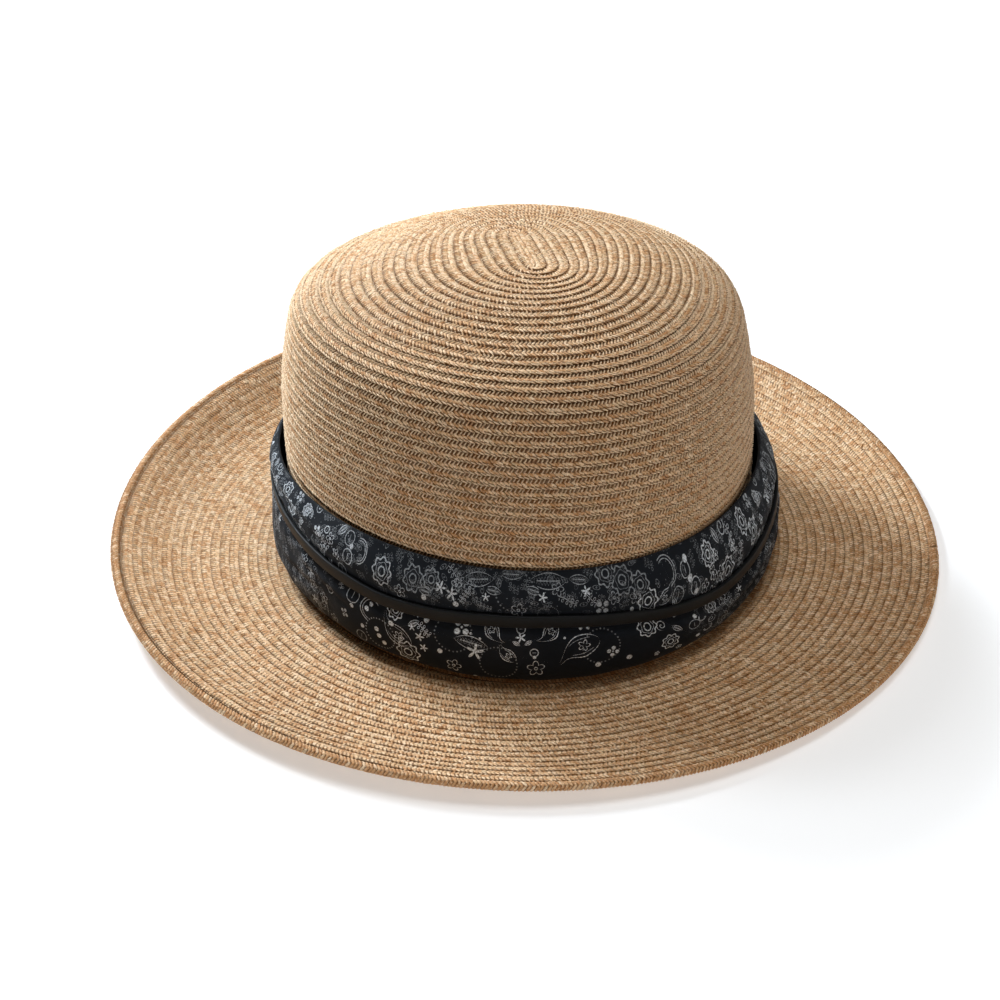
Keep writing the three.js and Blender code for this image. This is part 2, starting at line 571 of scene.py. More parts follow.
class Shader(Nodes):
    """Builds one material's node tree."""

    def __init__(self, name: str) -> None:
        """Starts an empty tree.

        Args:
            name: the material's name.
        """
        self.material = bpy.data.materials.new(name)
        self.material.use_nodes = True
        super().__init__(self.material.node_tree)
        self.tree.nodes.clear()

    def mix(self, factor: Value, first: object, second: object) -> Signal:
        """Blends two colours.

        Args:
            factor: 0 for the first, 1 for the second.
            first: a colour or signal.
            second: a colour or signal.

        Returns:
            The blended colour.
        """
        made = self.node("ShaderNodeMix", {"data_type": "RGBA", "clamp_factor": True})
        self.plug(made.inputs[0], factor)
        self.plug(made.inputs[6], first)
        self.plug(made.inputs[7], second)
        return self.signal(made, 2)

    def shade(self, colour: Signal, factor: Signal) -> Signal:
        """A colour made darker or lighter.

        Args:
            colour: the colour.
            factor: what it is multiplied by, which may vary.

        Returns:
            The new colour.
        """
        made = self.node("ShaderNodeVectorMath", {"operation": "SCALE"}, Scale=factor)
        self.plug(made.inputs[0], colour)
        return self.signal(made)

    def noise(self, place: Signal, scale: float, detail: float = 2.0) -> Signal:
        """Soft noise about 0.5.

        Args:
            place: where it is read.
            scale: how fine it is.
            detail: how many finer layers it has.

        Returns:
            The noise.
        """
        made = self.node("ShaderNodeTexNoise", None, Vector=place, Scale=scale, Detail=detail)
        return self.signal(made)

    def lot(self, place: Signal) -> Signal:
        """A random number for each place, the same each time."""
        made = self.node("ShaderNodeTexWhiteNoise", {"noise_dimensions": "3D"}, Vector=place)
        return self.signal(made)

    def object_place(self) -> Signal:
        """Object coordinates."""
        return self.signal(self.node("ShaderNodeTexCoord"), "Object")

    def lay(self) -> tuple[Signal, Signal]:
        """The piece's own UV: along it and across it."""
        made = self.node("ShaderNodeUVMap", {"uv_map": "Lay"})
        return self.axes(self.signal(made))[:2]

    def attribute(self, name: str) -> bpy.types.Node:
        """A named attribute of the mesh."""
        return self.node("ShaderNodeAttribute", {"attribute_name": name})

    def surface(
        self,
        colour: Signal,
        roughness: Value,
        shine: float,
        height: Signal | None = None,
        relief: float = 0.0,
        sheen: tuple[float, float] = (0.0, 0.5),
        glow: float = 0.0,
    ) -> bpy.types.Material:
        """Closes the tree with the surface's shader.

        Args:
            colour: the base colour.
            roughness: the roughness.
            shine: the level of its reflections.
            height: the bump's height signal, from 0 to 1.
            relief: the bump's depth in millimetres.
            sheen: the weight and the roughness of its sheen.
            glow: how strongly it shines by itself.

        Returns:
            The material.
        """
        made = self.node(
            "ShaderNodeBsdfPrincipled",
            Base_Color=colour,
            Roughness=roughness,
            Specular_IOR_Level=shine,
            Sheen_Weight=sheen[0],
            Sheen_Roughness=sheen[1],
            Emission_Strength=glow,
        )
        if height is not None:
            bump = self.node("ShaderNodeBump", None, Height=height, Distance=relief * MM)
            self.plug(made.inputs["Normal"], self.signal(bump))
        out = self.node("ShaderNodeOutputMaterial")
        self.tree.links.new(made.outputs[0], out.inputs["Surface"])
        return self.material


# --- Finishes ---


@dataclass(frozen=True)
class StrawTones:
    """The colours of the paper straw, which change in soft patches along the braid, and the dark
    gap and shade tones that paint shade on it.
    """

    pale: Colour = (0.92, 0.70, 0.47)
    wheat: Colour = (0.80, 0.54, 0.31)
    tan: Colour = (0.60, 0.335, 0.155)
    russet: Colour = (0.56, 0.275, 0.115)
    olive: Colour = (0.60, 0.47, 0.26)
    # Painted shade: the dark brown that the straw between the laid strands is mixed towards.
    gap: Colour = (0.105, 0.036, 0.006)
    shade: Colour = (0.21, 0.082, 0.021)
    patch_scale: float = 330.0
    patch_detail: float = 3.0
    patch_share: float = 1.3
    lot_share: float = 0.7
    hue_scale: float = 260.0
    hue_detail: float = 4.0
    hue_by_lot: float = 0.16
    hue_by_dye: float = 0.12
    wheat_range: tuple[float, float] = (0.15, 0.62)
    tan_range: tuple[float, float] = (0.55, 1.0)
    russet_range: tuple[float, float] = (0.52, 0.68)
    russet_share: float = 0.65
    olive_range: tuple[float, float] = (0.56, 0.72)
    olive_share: float = 0.35

    def pick(self, shader: Shader, lot: Signal, dye: Value = 0.0) -> Signal:
        """The colour of a strand.

        Args:
            shader: the material's tree.
            lot: the strand's random number.
            dye: how much browner the whole strand is.

        Returns:
            Its colour.
        """
        place = shader.object_place()
        patch = shader.noise(place, self.patch_scale, self.patch_detail)
        hue = shader.noise(place, self.hue_scale, self.hue_detail)
        depth = (patch - 0.5) * self.patch_share + (lot - 0.5) * self.lot_share + 0.5 + dye
        colour = shader.mix(depth.ramp(*self.wheat_range), self.pale, self.wheat)
        colour = shader.mix(depth.ramp(*self.tan_range), colour, self.tan)
        hue = hue + (lot - 0.5) * self.hue_by_lot + dye * self.hue_by_dye
        russet = hue.ramp(*self.russet_range) * self.russet_share
        colour = shader.mix(russet, colour, self.russet)
        olive = (1.0 - hue).ramp(*self.olive_range) * self.olive_share
        return shader.mix(olive, colour, self.olive)


@dataclass(frozen=True)
class StrandFinish:
    """The paper-straw strands that are laid on the rows one by one."""

    tones: StrawTones = StrawTones()
    roughness: float = 0.55
    roughness_by_fibre: float = 0.15
    fibre_depth: float = 0.05
    fibre_light: float = 0.24
    fibre_stretch: tuple[float, float, float] = (1.4, 7.0, 90.0)
    edge_range: tuple[float, float] = (0.5, 1.0)
    edge_shade: float = 0.22
    end_range: tuple[float, float] = (0.6, 1.0)
    end_shade: float = 0.16
    speck_scale: float = 1300.0
    speck_range: tuple[float, float] = (0.36, 0.50)
    speck_shade: float = 0.42
    fleck_scale: float = 1500.0
    fleck_range: tuple[float, float] = (0.54, 0.66)
    pale_flecks: float = 0.55
    russet_flecks: float = 0.60
    shine: float = 0.16
    sheen: tuple[float, float] = (0.02, 0.45)

    def material(self, name: str) -> bpy.types.Material:
        """Builds the strands' material from their own attributes.

        Args:
            name: the material's name.

        Returns:
            The material.
        """
        shader = Shader(name)
        lot = shader.signal(shader.attribute("tone"), "Fac")
        dye = shader.signal(shader.attribute("dye"), "Fac")
        along, across, _ = shader.axes(shader.signal(shader.attribute("leaf"), "Vector"))
        place = shader.object_place()
        colour = self.tones.pick(shader, lot, dye)
        long, wide, lots = self.fibre_stretch
        fibre = shader.noise(shader.vector(along * long, across * wide, lot * lots), 1.0, 1.0)
        speck = shader.noise(place, self.speck_scale, 2.0)
        edge = (across.abs() * 2.0).ramp(*self.edge_range)
        end = (along.abs() * 2.0).ramp(*self.end_range)
        light = (1.0 - self.edge_shade * edge) * (1.0 - self.end_shade * end)
        light = light * (1.0 - self.fibre_light / 2.0 + self.fibre_light * fibre)
        light = light * (1.0 - self.speck_shade * (1.0 - speck.ramp(*self.speck_range)))
        fleck = shader.noise(place, self.fleck_scale, 1.0)
        pale = fleck.ramp(*self.fleck_range) * self.pale_flecks
        colour = shader.mix(pale, colour, self.tones.pale)
        russet = (1.0 - fleck).ramp(*self.fleck_range) * self.russet_flecks
        colour = shader.mix(russet, colour, self.tones.russet)
        colour = shader.mix(1.0 - light, colour, self.tones.shade)
        rough = self.roughness + self.roughness_by_fibre * fibre
        return shader.surface(colour, rough, self.shine, fibre, self.fibre_depth, self.sheen)


@dataclass(frozen=True)
class WovenFinish:
    """The braid's own face where the strands are painted and embossed: inside and below, and
    between the laid strands, where its colour can be darkened towards the gap tone as painted
    shade.
    """

    tones: StrawTones = StrawTones()
    pitch: float = 1.4
    slant: float = 1.1
    lower_ease: float = 0.1
    border: float = 0.56
    relief: float = 0.35
    # How far the colour is mixed towards the gap tone: painted shade for the straw seen between
    # the laid strands.
    depth: float = 0.0
    roughness: float = 0.6
    shine: float = 0.08
    seam_width: float = 0.10
    hem_start: float = 0.93
    join_width: float = 0.07
    join_depth: float = 0.5
    hollow_light: float = 0.42
    lit_height: float = 0.75
    fibre_light: float = 0.12
    fibre_stretch: tuple[float, float, float] = (6.0, 2.0, 30.0)
    lot_steps: tuple[float, float] = (0.37, 5.3)

    def material(self, name: str) -> bpy.types.Material:
        """Builds the woven face's material from the lay of the rows.

        Args:
            name: the material's name.

        Returns:
            The material.
        """
        shader = Shader(name)
        along, share = shader.lay()
        lower = share > self.border
        lean = (share - self.border) * self.slant
        phase = along / self.pitch - lean.abs() * (1.0 - self.lower_ease * lower)
        strand = phase.floor()
        step, side = self.lot_steps
        lot = shader.lot(shader.vector(strand * step, lower * side, 0.5))
        bulge = 1.0 - ((phase.fract() - 0.5).abs() * 2.0) ** 2.0
        seam = share.ramp(0.0, self.seam_width) * (1.0 - share.ramp(self.hem_start, 1.0))
        from_join = (share - self.border).abs().ramp(0.0, self.join_width)
        join = 1.0 - self.join_depth * (1.0 - from_join)
        height = bulge * seam * join
        colour = self.tones.pick(shader, lot)
        long, wide, lots = self.fibre_stretch
        fine = shader.noise(shader.vector(phase * long, share * wide, lot * lots), 1.0, 1.0)
        light = self.hollow_light + (1.0 - self.hollow_light) * height.ramp(0.0, self.lit_height)
        light = light * (1.0 - self.fibre_light + self.fibre_light * fine)
        colour = shader.mix(1.0 - light, colour, self.tones.shade)
        # Painted shade: darkens the straw between the laid strands towards the gap tone.
        if self.depth:
            colour = shader.mix(self.depth, colour, self.tones.gap)
        return shader.surface(colour, self.roughness, self.shine, height, self.relief)


class Motif(Enum):
    """The small figures of the cotton's paisley print."""

    DOT = "dot"
    OVAL = "oval"
    ROUNDEL = "roundel"
    BLOSSOM = "blossom"
    STAR = "star"
    CROSS = "cross"
    PAISLEY = "paisley"
    SCROLL = "scroll"
    SPRIG = "sprig"
    ARCH = "arch"
    LEAF = "leaf"
    BEADS = "beads"


# Each figure of one repeat of the print: (mm along the band, mm up it, radius in mm,
# turn in degrees with 360 more for a mirrored figure, strength of the white).
PRINT_CHART: dict[Motif, tuple[Figure, ...]] = {
    Motif.DOT: (
        (66, 8, 0.8, 0, 0.6), (61.5, 36.5, 0.8, 0, 0.88), (67, 36.5, 0.9, 0, 0.88),
        (103, 38, 1, 0, 0.79), (105, 18, 1, 0, 0.9), (110, 12, 1, 0, 0.8), (112, 20, 1.1, 0, 1),
        (113.5, 22.2, 1, 0, 1), (116.5, 13.5, 1.1, 0, 1), (117.5, 11, 1.1, 0, 1),
        (119.5, 8.5, 1.1, 0, 1), (123, 18.6, 1.3, 0, 1), (135.9, 31.5, 1.1, 0, 0.85),
        (136.6, 23.5, 1.2, 0, 1), (142.1, 12.7, 1.1, 0, 1), (147.8, 31, 1.2, 0, 0.85),
        (153.1, 20.9, 0.5, 0, 0.9), (153.8, 2.5, 0.9, 0, 0.8), (156.3, 19.4, 0.5, 0, 0.9),
        (174.6, 13.4, 0.7, 0, 1), (184.7, 20.6, 0.5, 0, 0.9), (190.5, 23.7, 0.7, 0, 1),
        (193.1, 23.7, 0.7, 0, 1), (196.3, 9, 1.2, 0, 1), (207.7, 10.1, 1.2, 0, 1),
        (209.5, 29.3, 0.9, 0, 0.6), (227.5, 24.5, 1.3, 0, 1), (234.5, 39.5, 1.2, 0, 0.88),
        (235.5, 34.5, 1.3, 0, 0.88), (236.5, 21.6, 1, 0, 1), (238, 9.5, 1.2, 0, 1),
        (238.5, 30.4, 1.2, 0, 0.88), (238.5, 24.8, 1.3, 0, 1),
    ),
    Motif.OVAL: (
        (101, 40, 2.7, 5, 0.53), (102, 34.5, 2.7, 0, 0.7), (105, 22, 3.1, -8, 0.6),
        (109, 7, 2.7, -12, 0.5), (170.2, 23.4, 1.7, 90, 0.8), (174.5, 15.1, 1.6, 90, 0.8),
        (229, 31, 3, -10, 0.53), (233.5, 37, 2.5, 0, 0.62), (236, 17.5, 3.1, 6, 0.6),
        (238, 32, 2.7, -4, 0.7), (89, 38.5, 1.3, 0, 0.88), (98.5, 28.5, 2.5, 0, 0.6),
    ),
    Motif.ROUNDEL: (
        (63, 34, 4, 0, 0.88), (74, 39.5, 2.6, 0, 0.7), (124, 24, 3.9, 10, 1),
        (129.5, 8.3, 5.3, 0, 1), (118.5, 35.5, 4.6, 0, 0.62), (131.4, 36.3, 4.4, 20, 0.36),
        (138.5, 37.2, 3.6, 0, 0.33), (200.5, 41, 4.4, 0, 0.36), (206.4, 38.5, 4.8, 20, 0.33),
        (213, 36.5, 4, 0, 0.36), (215.8, 31.3, 4.6, 0, 0.88), (215.2, 22, 4.6, 0, 1),
        (224.8, 12.3, 4.3, 15, 1), (246.5, 38, 3.6, 0, 0.88), (257.5, 31, 4.5, 10, 0.88),
        (273, 39, 3.9, 0, 0.88), (246, 22.5, 3.2, 0, 0.7),
    ),
    Motif.BLOSSOM: (
        (72, 34, 1.5, 0, 0.88), (76, 21, 2.1, 20, 0.6), (83, 3, 2.3, 0, 0.6),
        (87, 30.5, 2.4, 10, 0.88), (92, 36.5, 2.2, 40, 0.79), (93, 6, 2.3, 15, 0.6),
        (96, 33, 2, 0, 0.79), (81.5, 14, 2.4, 0, 0.7), (88, 12, 2.4, 20, 0.7),
        (126.5, 31.5, 2.4, 30, 0.53), (146.8, 7.4, 3, 0, 0.9), (147.9, 37, 2.2, 10, 0.59),
        (152.8, 36.8, 2.4, 25, 0.42), (127, 13.8, 1.3, 0, 1), (169.4, 30.3, 2.9, 0, 0.48),
        (175, 9, 3.4, 20, 0.9), (182.9, 37.5, 2.4, 0, 0.42), (202.6, 33.8, 2.4, 35, 0.42),
        (210.8, 33, 2.4, 20, 0.42), (219, 8, 1.2, 0, 1), (229, 7, 1.4, 30, 1),
        (248, 33, 2.2, 0, 0.88), (250.5, 37, 1.6, 20, 0.88), (253, 22.5, 3, 0, 0.7),
        (261, 36.5, 1.6, 10, 0.88), (243.5, 30.5, 2.4, 10, 0.79), (252.5, 31.5, 2.6, 10, 0.79),
        (248, 27.5, 2.6, 30, 0.8),
    ),
    Motif.STAR: (
        (80, 18, 1.9, 0, 0.7), (70, 30.5, 1.8, 20, 0.88), (82, 9, 1.9, 10, 0.8),
        (76, 28, 2.3, 40, 1), (92, 27.5, 2.2, 0, 0.9), (142.2, 35.5, 2.2, 0, 0.77),
        (146.3, 34.1, 2.3, 10, 0.77), (154.5, 14.2, 3.3, 10, 1), (158.4, 34.4, 1.5, 20, 0.85),
        (170.1, 20.6, 1.9, 35, 1), (177.7, 35.2, 1.7, 0, 0.85), (192.7, 36.6, 1.8, 30, 0.85),
        (132.5, 25, 1.6, 10, 0.9), (136, 12.5, 1.8, 0, 1), (134.5, 16.8, 2, 0, 1),
        (264.5, 21, 1.9, 0, 0.9), (131.5, 20, 1.6, 30, 1),
    ),
    Motif.CROSS: (
        (149.8, 22.7, 2.9, 0, 1), (101, 13, 1.8, 20, 0.6), (198.3, 31, 2.5, 0, 0.48),
        (201.6, 13.8, 2.1, 35, 0.9), (269, 27, 2.2, 10, 0.9), (84, 36, 2, 20, 0.88),
        (66.5, 41.5, 2, 0, 0.62),
    ),
    Motif.PAISLEY: (
        (160.9, 21.3, 4.7, 565, 1), (164.8, 14.5, 4.3, 53, 1), (179.6, 21.6, 4.7, 145, 1),
        (188.8, 16.6, 8.4, 470, 1), (124, 15.5, 8, 60, 0.95), (86, 10, 6, 20, 0.6),
        (252, 12, 7, 30, 0.6), (224, 32, 4.2, -60, 0.7),
    ),
    Motif.SCROLL: (
        (80, 43, 2.3, 0, 0.7), (258, 42, 2.7, 0, 0.79), (92, 18, 2.4, 0, 0.6),
        (245, 16, 2.6, 0, 0.6), (70, 24, 2.2, 0, 0.5), (221, 21.5, 2.2, 200, 0.9),
        (262, 17, 2.6, 90, 0.6),
    ),
    Motif.SPRIG: (
        (88, 34.5, 4.2, 60, 0.88), (146.9, 40.1, 3.8, 60, 0.48), (151.1, 34, 2.8, -30, 0.54),
        (98, 24, 3, 30, 0.5), (186.4, 33.9, 3.6, 70, 0.48), (194, 34.3, 3.6, 60, 0.54),
        (136, 20, 3.4, 60, 1), (257, 18, 4.6, 40, 0.6), (262, 38, 4.2, 20, 0.88),
        (72, 14, 4.5, -20, 0.6), (158, 31, 2.6, 80, 0.3), (267, 33, 4, 0, 0.79),
    ),
    Motif.ARCH: (
        (107, 38, 4.2, -80, 0.62), (114, 20, 5.5, 60, 0.8), (76, 38, 3, 20, 0.62),
        (224.5, 38, 4.8, -60, 0.53), (243, 12, 2.6, 200, 0.7), (240, 20, 2.4, 160, 0.7),
    ),
    Motif.LEAF: (
        (96.3, 41.2, 2.8, -40, 0.88), (132, 21.5, 2.4, -60, 1), (136.4, 33.5, 2.6, 80, 0.48),
        (155.5, 39.6, 5.6, 95, 0.51), (160.9, 36.6, 3, 80, 0.48), (167.2, 41.9, 4.2, 90, 0.42),
        (153.2, 17.4, 6.2, 77, 0.9), (168.6, 18.5, 1.5, 60, 0.9), (172.6, 18.7, 1.5, -60, 0.9),
        (174.6, 37.2, 3, 75, 0.48), (179.9, 40.1, 6.6, 88, 0.51), (190.7, 40.1, 3.7, 85, 0.48),
        (227.8, 18.5, 3, 50, 1), (228, 28.5, 2.4, 20, 1), (82, 26, 2.6, 60, 0.9),
        (253, 41, 2.6, 30, 0.88),
    ),
    Motif.BEADS: (
        (146.9, 20, 7.4, 0, 0.28), (162.4, 10.3, 7, 0, 0.28), (168.4, 36.5, 7.4, 0, 0.25),
        (179.5, 28.7, 4, 0, 0.25), (197.5, 16.5, 7.4, 0, 0.28), (118, 12, 7, 0, 0.5),
        (96, 38, 5, 0, 0.44), (252, 36, 6, 0, 0.44), (250, 14, 7, 0, 0.45), (74, 14, 6, 0, 0.4),
        (99, 36, 4.2, 0, 0.53),
    ),
}


@dataclass(frozen=True)
class PaisleyPrint:
    """The white print: every kind of figure is drawn once and set out by the chart."""

    start: float = 60.0
    repeats: int = 3
    packing: float = 1e-7
    pen: float = 0.17
    pen_limits: tuple[float, float] = (0.02, 0.16)
    growth_height: tuple[float, float] = (27.0, 33.0)
    growth_above: float = 0.25
    growth_at_ends: float = 0.33
    sprig_cell: float = 4.7
    sprig_chance: tuple[float, float] = (0.42, 0.66)
    flower_cell: float = 3.3
    flower_chance: tuple[float, float] = (0.55, 0.85)
    dot_cell: float = 1.15
    dot_chance: tuple[float, float] = (0.86, 0.95)
    grid_slope: float = 0.35
    beads: int = 30
    bead_size: float = 0.038

    def ink(self, shader: Shader, along: Signal, up: Signal, whole: float) -> Signal:
        """How white the print is at a place on the band.

        Args:
            shader: the material's tree.
            along: millimetres along the band.
            up: millimetres up the band.
            whole: the band's length in millimetres.

        Returns:
            0 for bare cloth, 1 for the strongest white.
        """
        thinnest, boldest = self.pen_limits
        repeat = whole / self.repeats
        within = ((along - self.start) / repeat).fract() * repeat + self.start
        place = shader.vector(within, up)
        total: Signal | None = None
        for motif, rows in PRINT_CHART.items():
            x, y, packed = shader.axes(self._nearest(shader, place, rows))
            packed = packed / self.packing
            size = (packed / 1000.0).floor()
            packed = packed - size * 1000.0
            pen = ((self.pen * 10.0) / size).least(boldest).most(thinnest)
            if motif not in (Motif.DOT, Motif.BEADS):
                turn = packed.floor() * math.radians(1.0)
                cos, sin = turn.cos(), turn.sin()
                x, y = x * cos + y * sin, y * cos - x * sin
                if any(row[3] >= 360 for row in rows):
                    x = x * (1.0 - 2.0 * (packed > 360.0))
            figure = self._figure(motif, x, y, pen) * packed.fract()
            total = figure if total is None else total.most(figure)
        dense = up.ramp(*self.growth_height) * self.growth_above
        dense = dense.most(near_ends(within, self.start, repeat) * self.growth_at_ends)
        return total.most(self._growth(shader, place) * dense)

    def _growth(self, shader: Shader, place: Signal) -> Signal:
        """The fine growth between the figures: small sprigs, small flowers and dots.

        Args:
            shader: the material's tree.
            place: the place on the band.

        Returns:
            1 where it is white.
        """
        x, y, chance = self._cell(shader, place, self.sprig_cell)
        bend = x - 0.22 * (y * 3.0).sin()
        stem = line(bend, 0.04) * filled(y.abs() - 0.80, 0.04)
        across = (bend.abs() - 0.36) / 0.26
        down = ((y * 1.7 + 0.3).fract() - 0.5) / 0.34
        leaf = line((across * across + down * down).root() - 0.76, 0.15)
        sprig = stem.most(leaf * filled(y.abs() - 0.85, 0.05))
        sprig = sprig * chance.ramp(*self.sprig_chance)
        x, y, chance = self._cell(shader, place, self.flower_cell)
        reach = (x * x + y * y).root()
        oval = (x * x * 4.0 + y * y).root()
        flower = line(oval - 0.80, 0.09).most(line(reach - 0.12, 0.07))
        flower = flower * chance.ramp(*self.flower_chance)
        x, y, chance = self._cell(shader, place, self.dot_cell)
        dots = filled((x * x + y * y).root() - 0.30, 0.12) * chance.ramp(*self.dot_chance)
        return sprig.most(flower).most(dots)

    def _cell(
        self, shader: Shader, place: Signal, size: float
    ) -> tuple[Signal, Signal, Signal]:
        """A place within its own cell of a turned grid of small cells.

        Args:
            shader: the material's tree.
            place: the place on the band.
            size: a cell's width in millimetres.

        Returns:
            The place in the cell from -1 to 1, turned by chance, and the cell's chance.
        """
        u, v, _ = shader.axes(place)
        slope = self.grid_slope
        a, b = (u + v * slope) / size, (v - u * slope) / size
        draw = shader.node(
            "ShaderNodeTexWhiteNoise", {"noise_dimensions": "3D"},
            Vector=shader.vector(a.floor(), b.floor(), size),
        )
        turn = shader.signal(draw, 0) * FULL_TURN
        x, y = a.fract() * 2.0 - 1.0, b.fract() * 2.0 - 1.0
        cos, sin = turn.cos(), turn.sin()
        chance = (turn * 7.31).fract()
        return x * cos + y * sin, y * cos - x * sin, chance

    def _nearest(
        self,
        shader: Shader,
        place: Signal,
        rows: tuple[Figure, ...],
    ) -> Signal:
        """A place as the nearest figure of a kind sees it.

        Args:
            shader: the material's tree.
            place: the place on the band.
            rows: the figures of that kind.

        Returns:
            The place from the figure's middle, where 1 is its edge, with its size, turn and
            strength packed into the third part.
        """
        best: Signal | None = None
        reach: Signal | None = None
        for along, up, size, turn, strength in rows:
            packed = (round(size * 10) * 1000 + turn % 720 + 0.99 * strength) * self.packing
            scale, shift = (1.0 / size, 1.0 / size, 0.0), (-along / size, -up / size, packed)
            local = shader.vectors("MULTIPLY_ADD", place, scale, shift)
            away = shader.vectors("LENGTH", local, output="Value")
            if best is None:
                best, reach = local, away
                continue
            nearer = away < reach
            pick = shader.node("ShaderNodeMix", {"data_type": "VECTOR"})
            shader.plug(pick.inputs[0], nearer)
            shader.plug(pick.inputs[4], best)
            shader.plug(pick.inputs[5], local)
            best, reach = shader.signal(pick, 1), away.least(reach)
        return best

    def _figure(self, motif: Motif, x: Signal, y: Signal, pen: Signal) -> Signal:
        """Draws one figure.

        Args:
            motif: the kind of figure.
            x: the place across it, 1 at its edge.
            y: the place up it, 1 at its edge.
            pen: half the width of its lines.

        Returns:
            1 where it is white.
        """
        reach = (x * x + y * y).root()
        x = x / {Motif.OVAL: 0.42, Motif.LEAF: 0.8, Motif.SPRIG: 0.8}.get(motif, 1.0)
        if motif is Motif.DOT:
            return filled(reach - 0.85, 0.15)
        if motif is Motif.OVAL:
            return line(reach - 0.86, pen).most(line(x, 0.10) * filled(reach - 0.4, 0.06))
        if motif is Motif.ARCH:
            rings = line(reach - 0.88, pen).most(line(reach - 0.70, pen * 0.8))
            return rings * y.ramp(-0.2, -0.05)
        if motif in (Motif.PAISLEY, Motif.LEAF, Motif.SPRIG):
            return self._leafy_figure(motif, x, y, reach, pen)
        turn = y.atan2(x)
        petals = (turn * 2.5).cos().abs()
        if motif is Motif.ROUNDEL:
            rim = line(reach - 0.80 - 0.09 * (turn * 8.0).cos(), pen * 1.7)
            inner = line(reach - 0.54 - 0.04 * (turn * 5.0).cos(), pen * 0.7) * 0.7
            return rim.most(inner).most(line(reach - 0.29, pen * 1.3))
        if motif is Motif.BLOSSOM:
            return line(reach - 0.42 - 0.45 * petals, pen).most(line(reach - 0.16, pen))
        if motif is Motif.STAR:
            return filled(reach - 0.16 - 0.78 * petals**2.6, 0.07)
        if motif is Motif.CROSS:
            lobe = (x.abs() - 0.5) ** 2.0 + (y.abs() - 0.5) ** 2.0
            return filled(lobe.root() - 0.36, 0.07).most(filled(reach - 0.14, 0.05))
        if motif is Motif.SCROLL:
            arm = (reach * 1.7 - turn / FULL_TURN).fract() - 0.5
            return line(arm, pen * 1.6) * (1.0 - reach.ramp(0.88, 1.0))
        ring = 0.9
        bead = (turn * self.beads / FULL_TURN).fract() - 0.5
        off = (reach - ring) ** 2.0 + (bead * (FULL_TURN * ring / self.beads)) ** 2.0
        return filled(off.root() - self.bead_size, 0.02)

    def _leafy_figure(
        self, motif: Motif, x: Signal, y: Signal, reach: Signal, pen: Signal
    ) -> Signal:
        """Draws a paisley, a leaf or a sprig.

        Args:
            motif: the kind of figure.
            x: the place across it, 1 at its edge.
            y: the place up it, 1 at its edge.
            reach: the distance from its middle.
            pen: half the width of its lines.

        Returns:
            1 where it is white.
        """
        if motif is Motif.LEAF:
            width = (1.0 - y * y).most(0.05) * 0.55
            rim = line(x.abs() / width - 0.88, pen * 2.0) * filled(reach - 1.0, 0.03)
            vein = ((y * 6.0).fract() - 0.5).abs() * 0.5 - x.abs() + 0.02
            vein = line(vein, pen * 0.8) * filled(x.abs() / width - 0.5, 0.06)
            return rim.most(line(x, pen) * filled(y.abs() - 0.62, 0.05)).most(vein * 0.6)
        if motif is Motif.SPRIG:
            bend = x - 0.16 * (y * 2.6).sin()
            stem = line(bend, pen) * filled(y.abs() - 0.92, 0.04)
            across = (bend.abs() - 0.32) / 0.24
            down = ((y * 2.2 + 0.3).fract() - 0.5) / 0.30
            leaf = line((across * across + down * down).root() - 0.78, pen * 3.6)
            return stem.most(leaf * filled(reach - 0.95, 0.05))
        bend = x - 0.55 * y.ramp(-0.1, 1.1) ** 2.0
        width = (1.0 - y * y).most(0.004).root() * 0.56 * (1.0 - 0.82 * y.ramp(-0.3, 1.0))
        share = bend.abs() / width.most(0.03)
        tooth = 0.55 + 0.45 * (y.atan2(bend) * 26.0).cos()
        rim = line(share - 0.92, pen * 1.8 * (0.7 + 0.6 * tooth))
        inner = line(share - 0.62, pen * 1.1) * filled((y + 0.2).abs() - 0.46, 0.03) * 0.7
        core = (bend * bend + (y + 0.32) ** 2.0).root()
        turn = (y + 0.32).atan2(bend)
        petals = line(core - 0.09 - 0.16 * (turn * 2.5).cos().abs(), pen)
        return rim.most(inner).most(petals) * filled(reach - 1.0, 0.02)


def near_ends(along: Signal, start: float, repeat: float) -> Signal:
    """1 near the two ends of a repeat of the print, 0 in its middle."""
    middle = start + 0.48 * repeat
    return (along - middle).abs().ramp(0.30 * repeat, 0.40 * repeat)


def line(off: Signal, half: Value) -> Signal:
    """A drawn line: 1 on it, 0 beyond its half width, softly between."""
    return 1.0 - off.abs().ramp(half * 0.55, half * 1.25)


def filled(off: Signal, soft: float) -> Signal:
    """A filled shape: 1 where off is below 0, with a soft edge."""
    return 1.0 - off.ramp(-soft, soft)


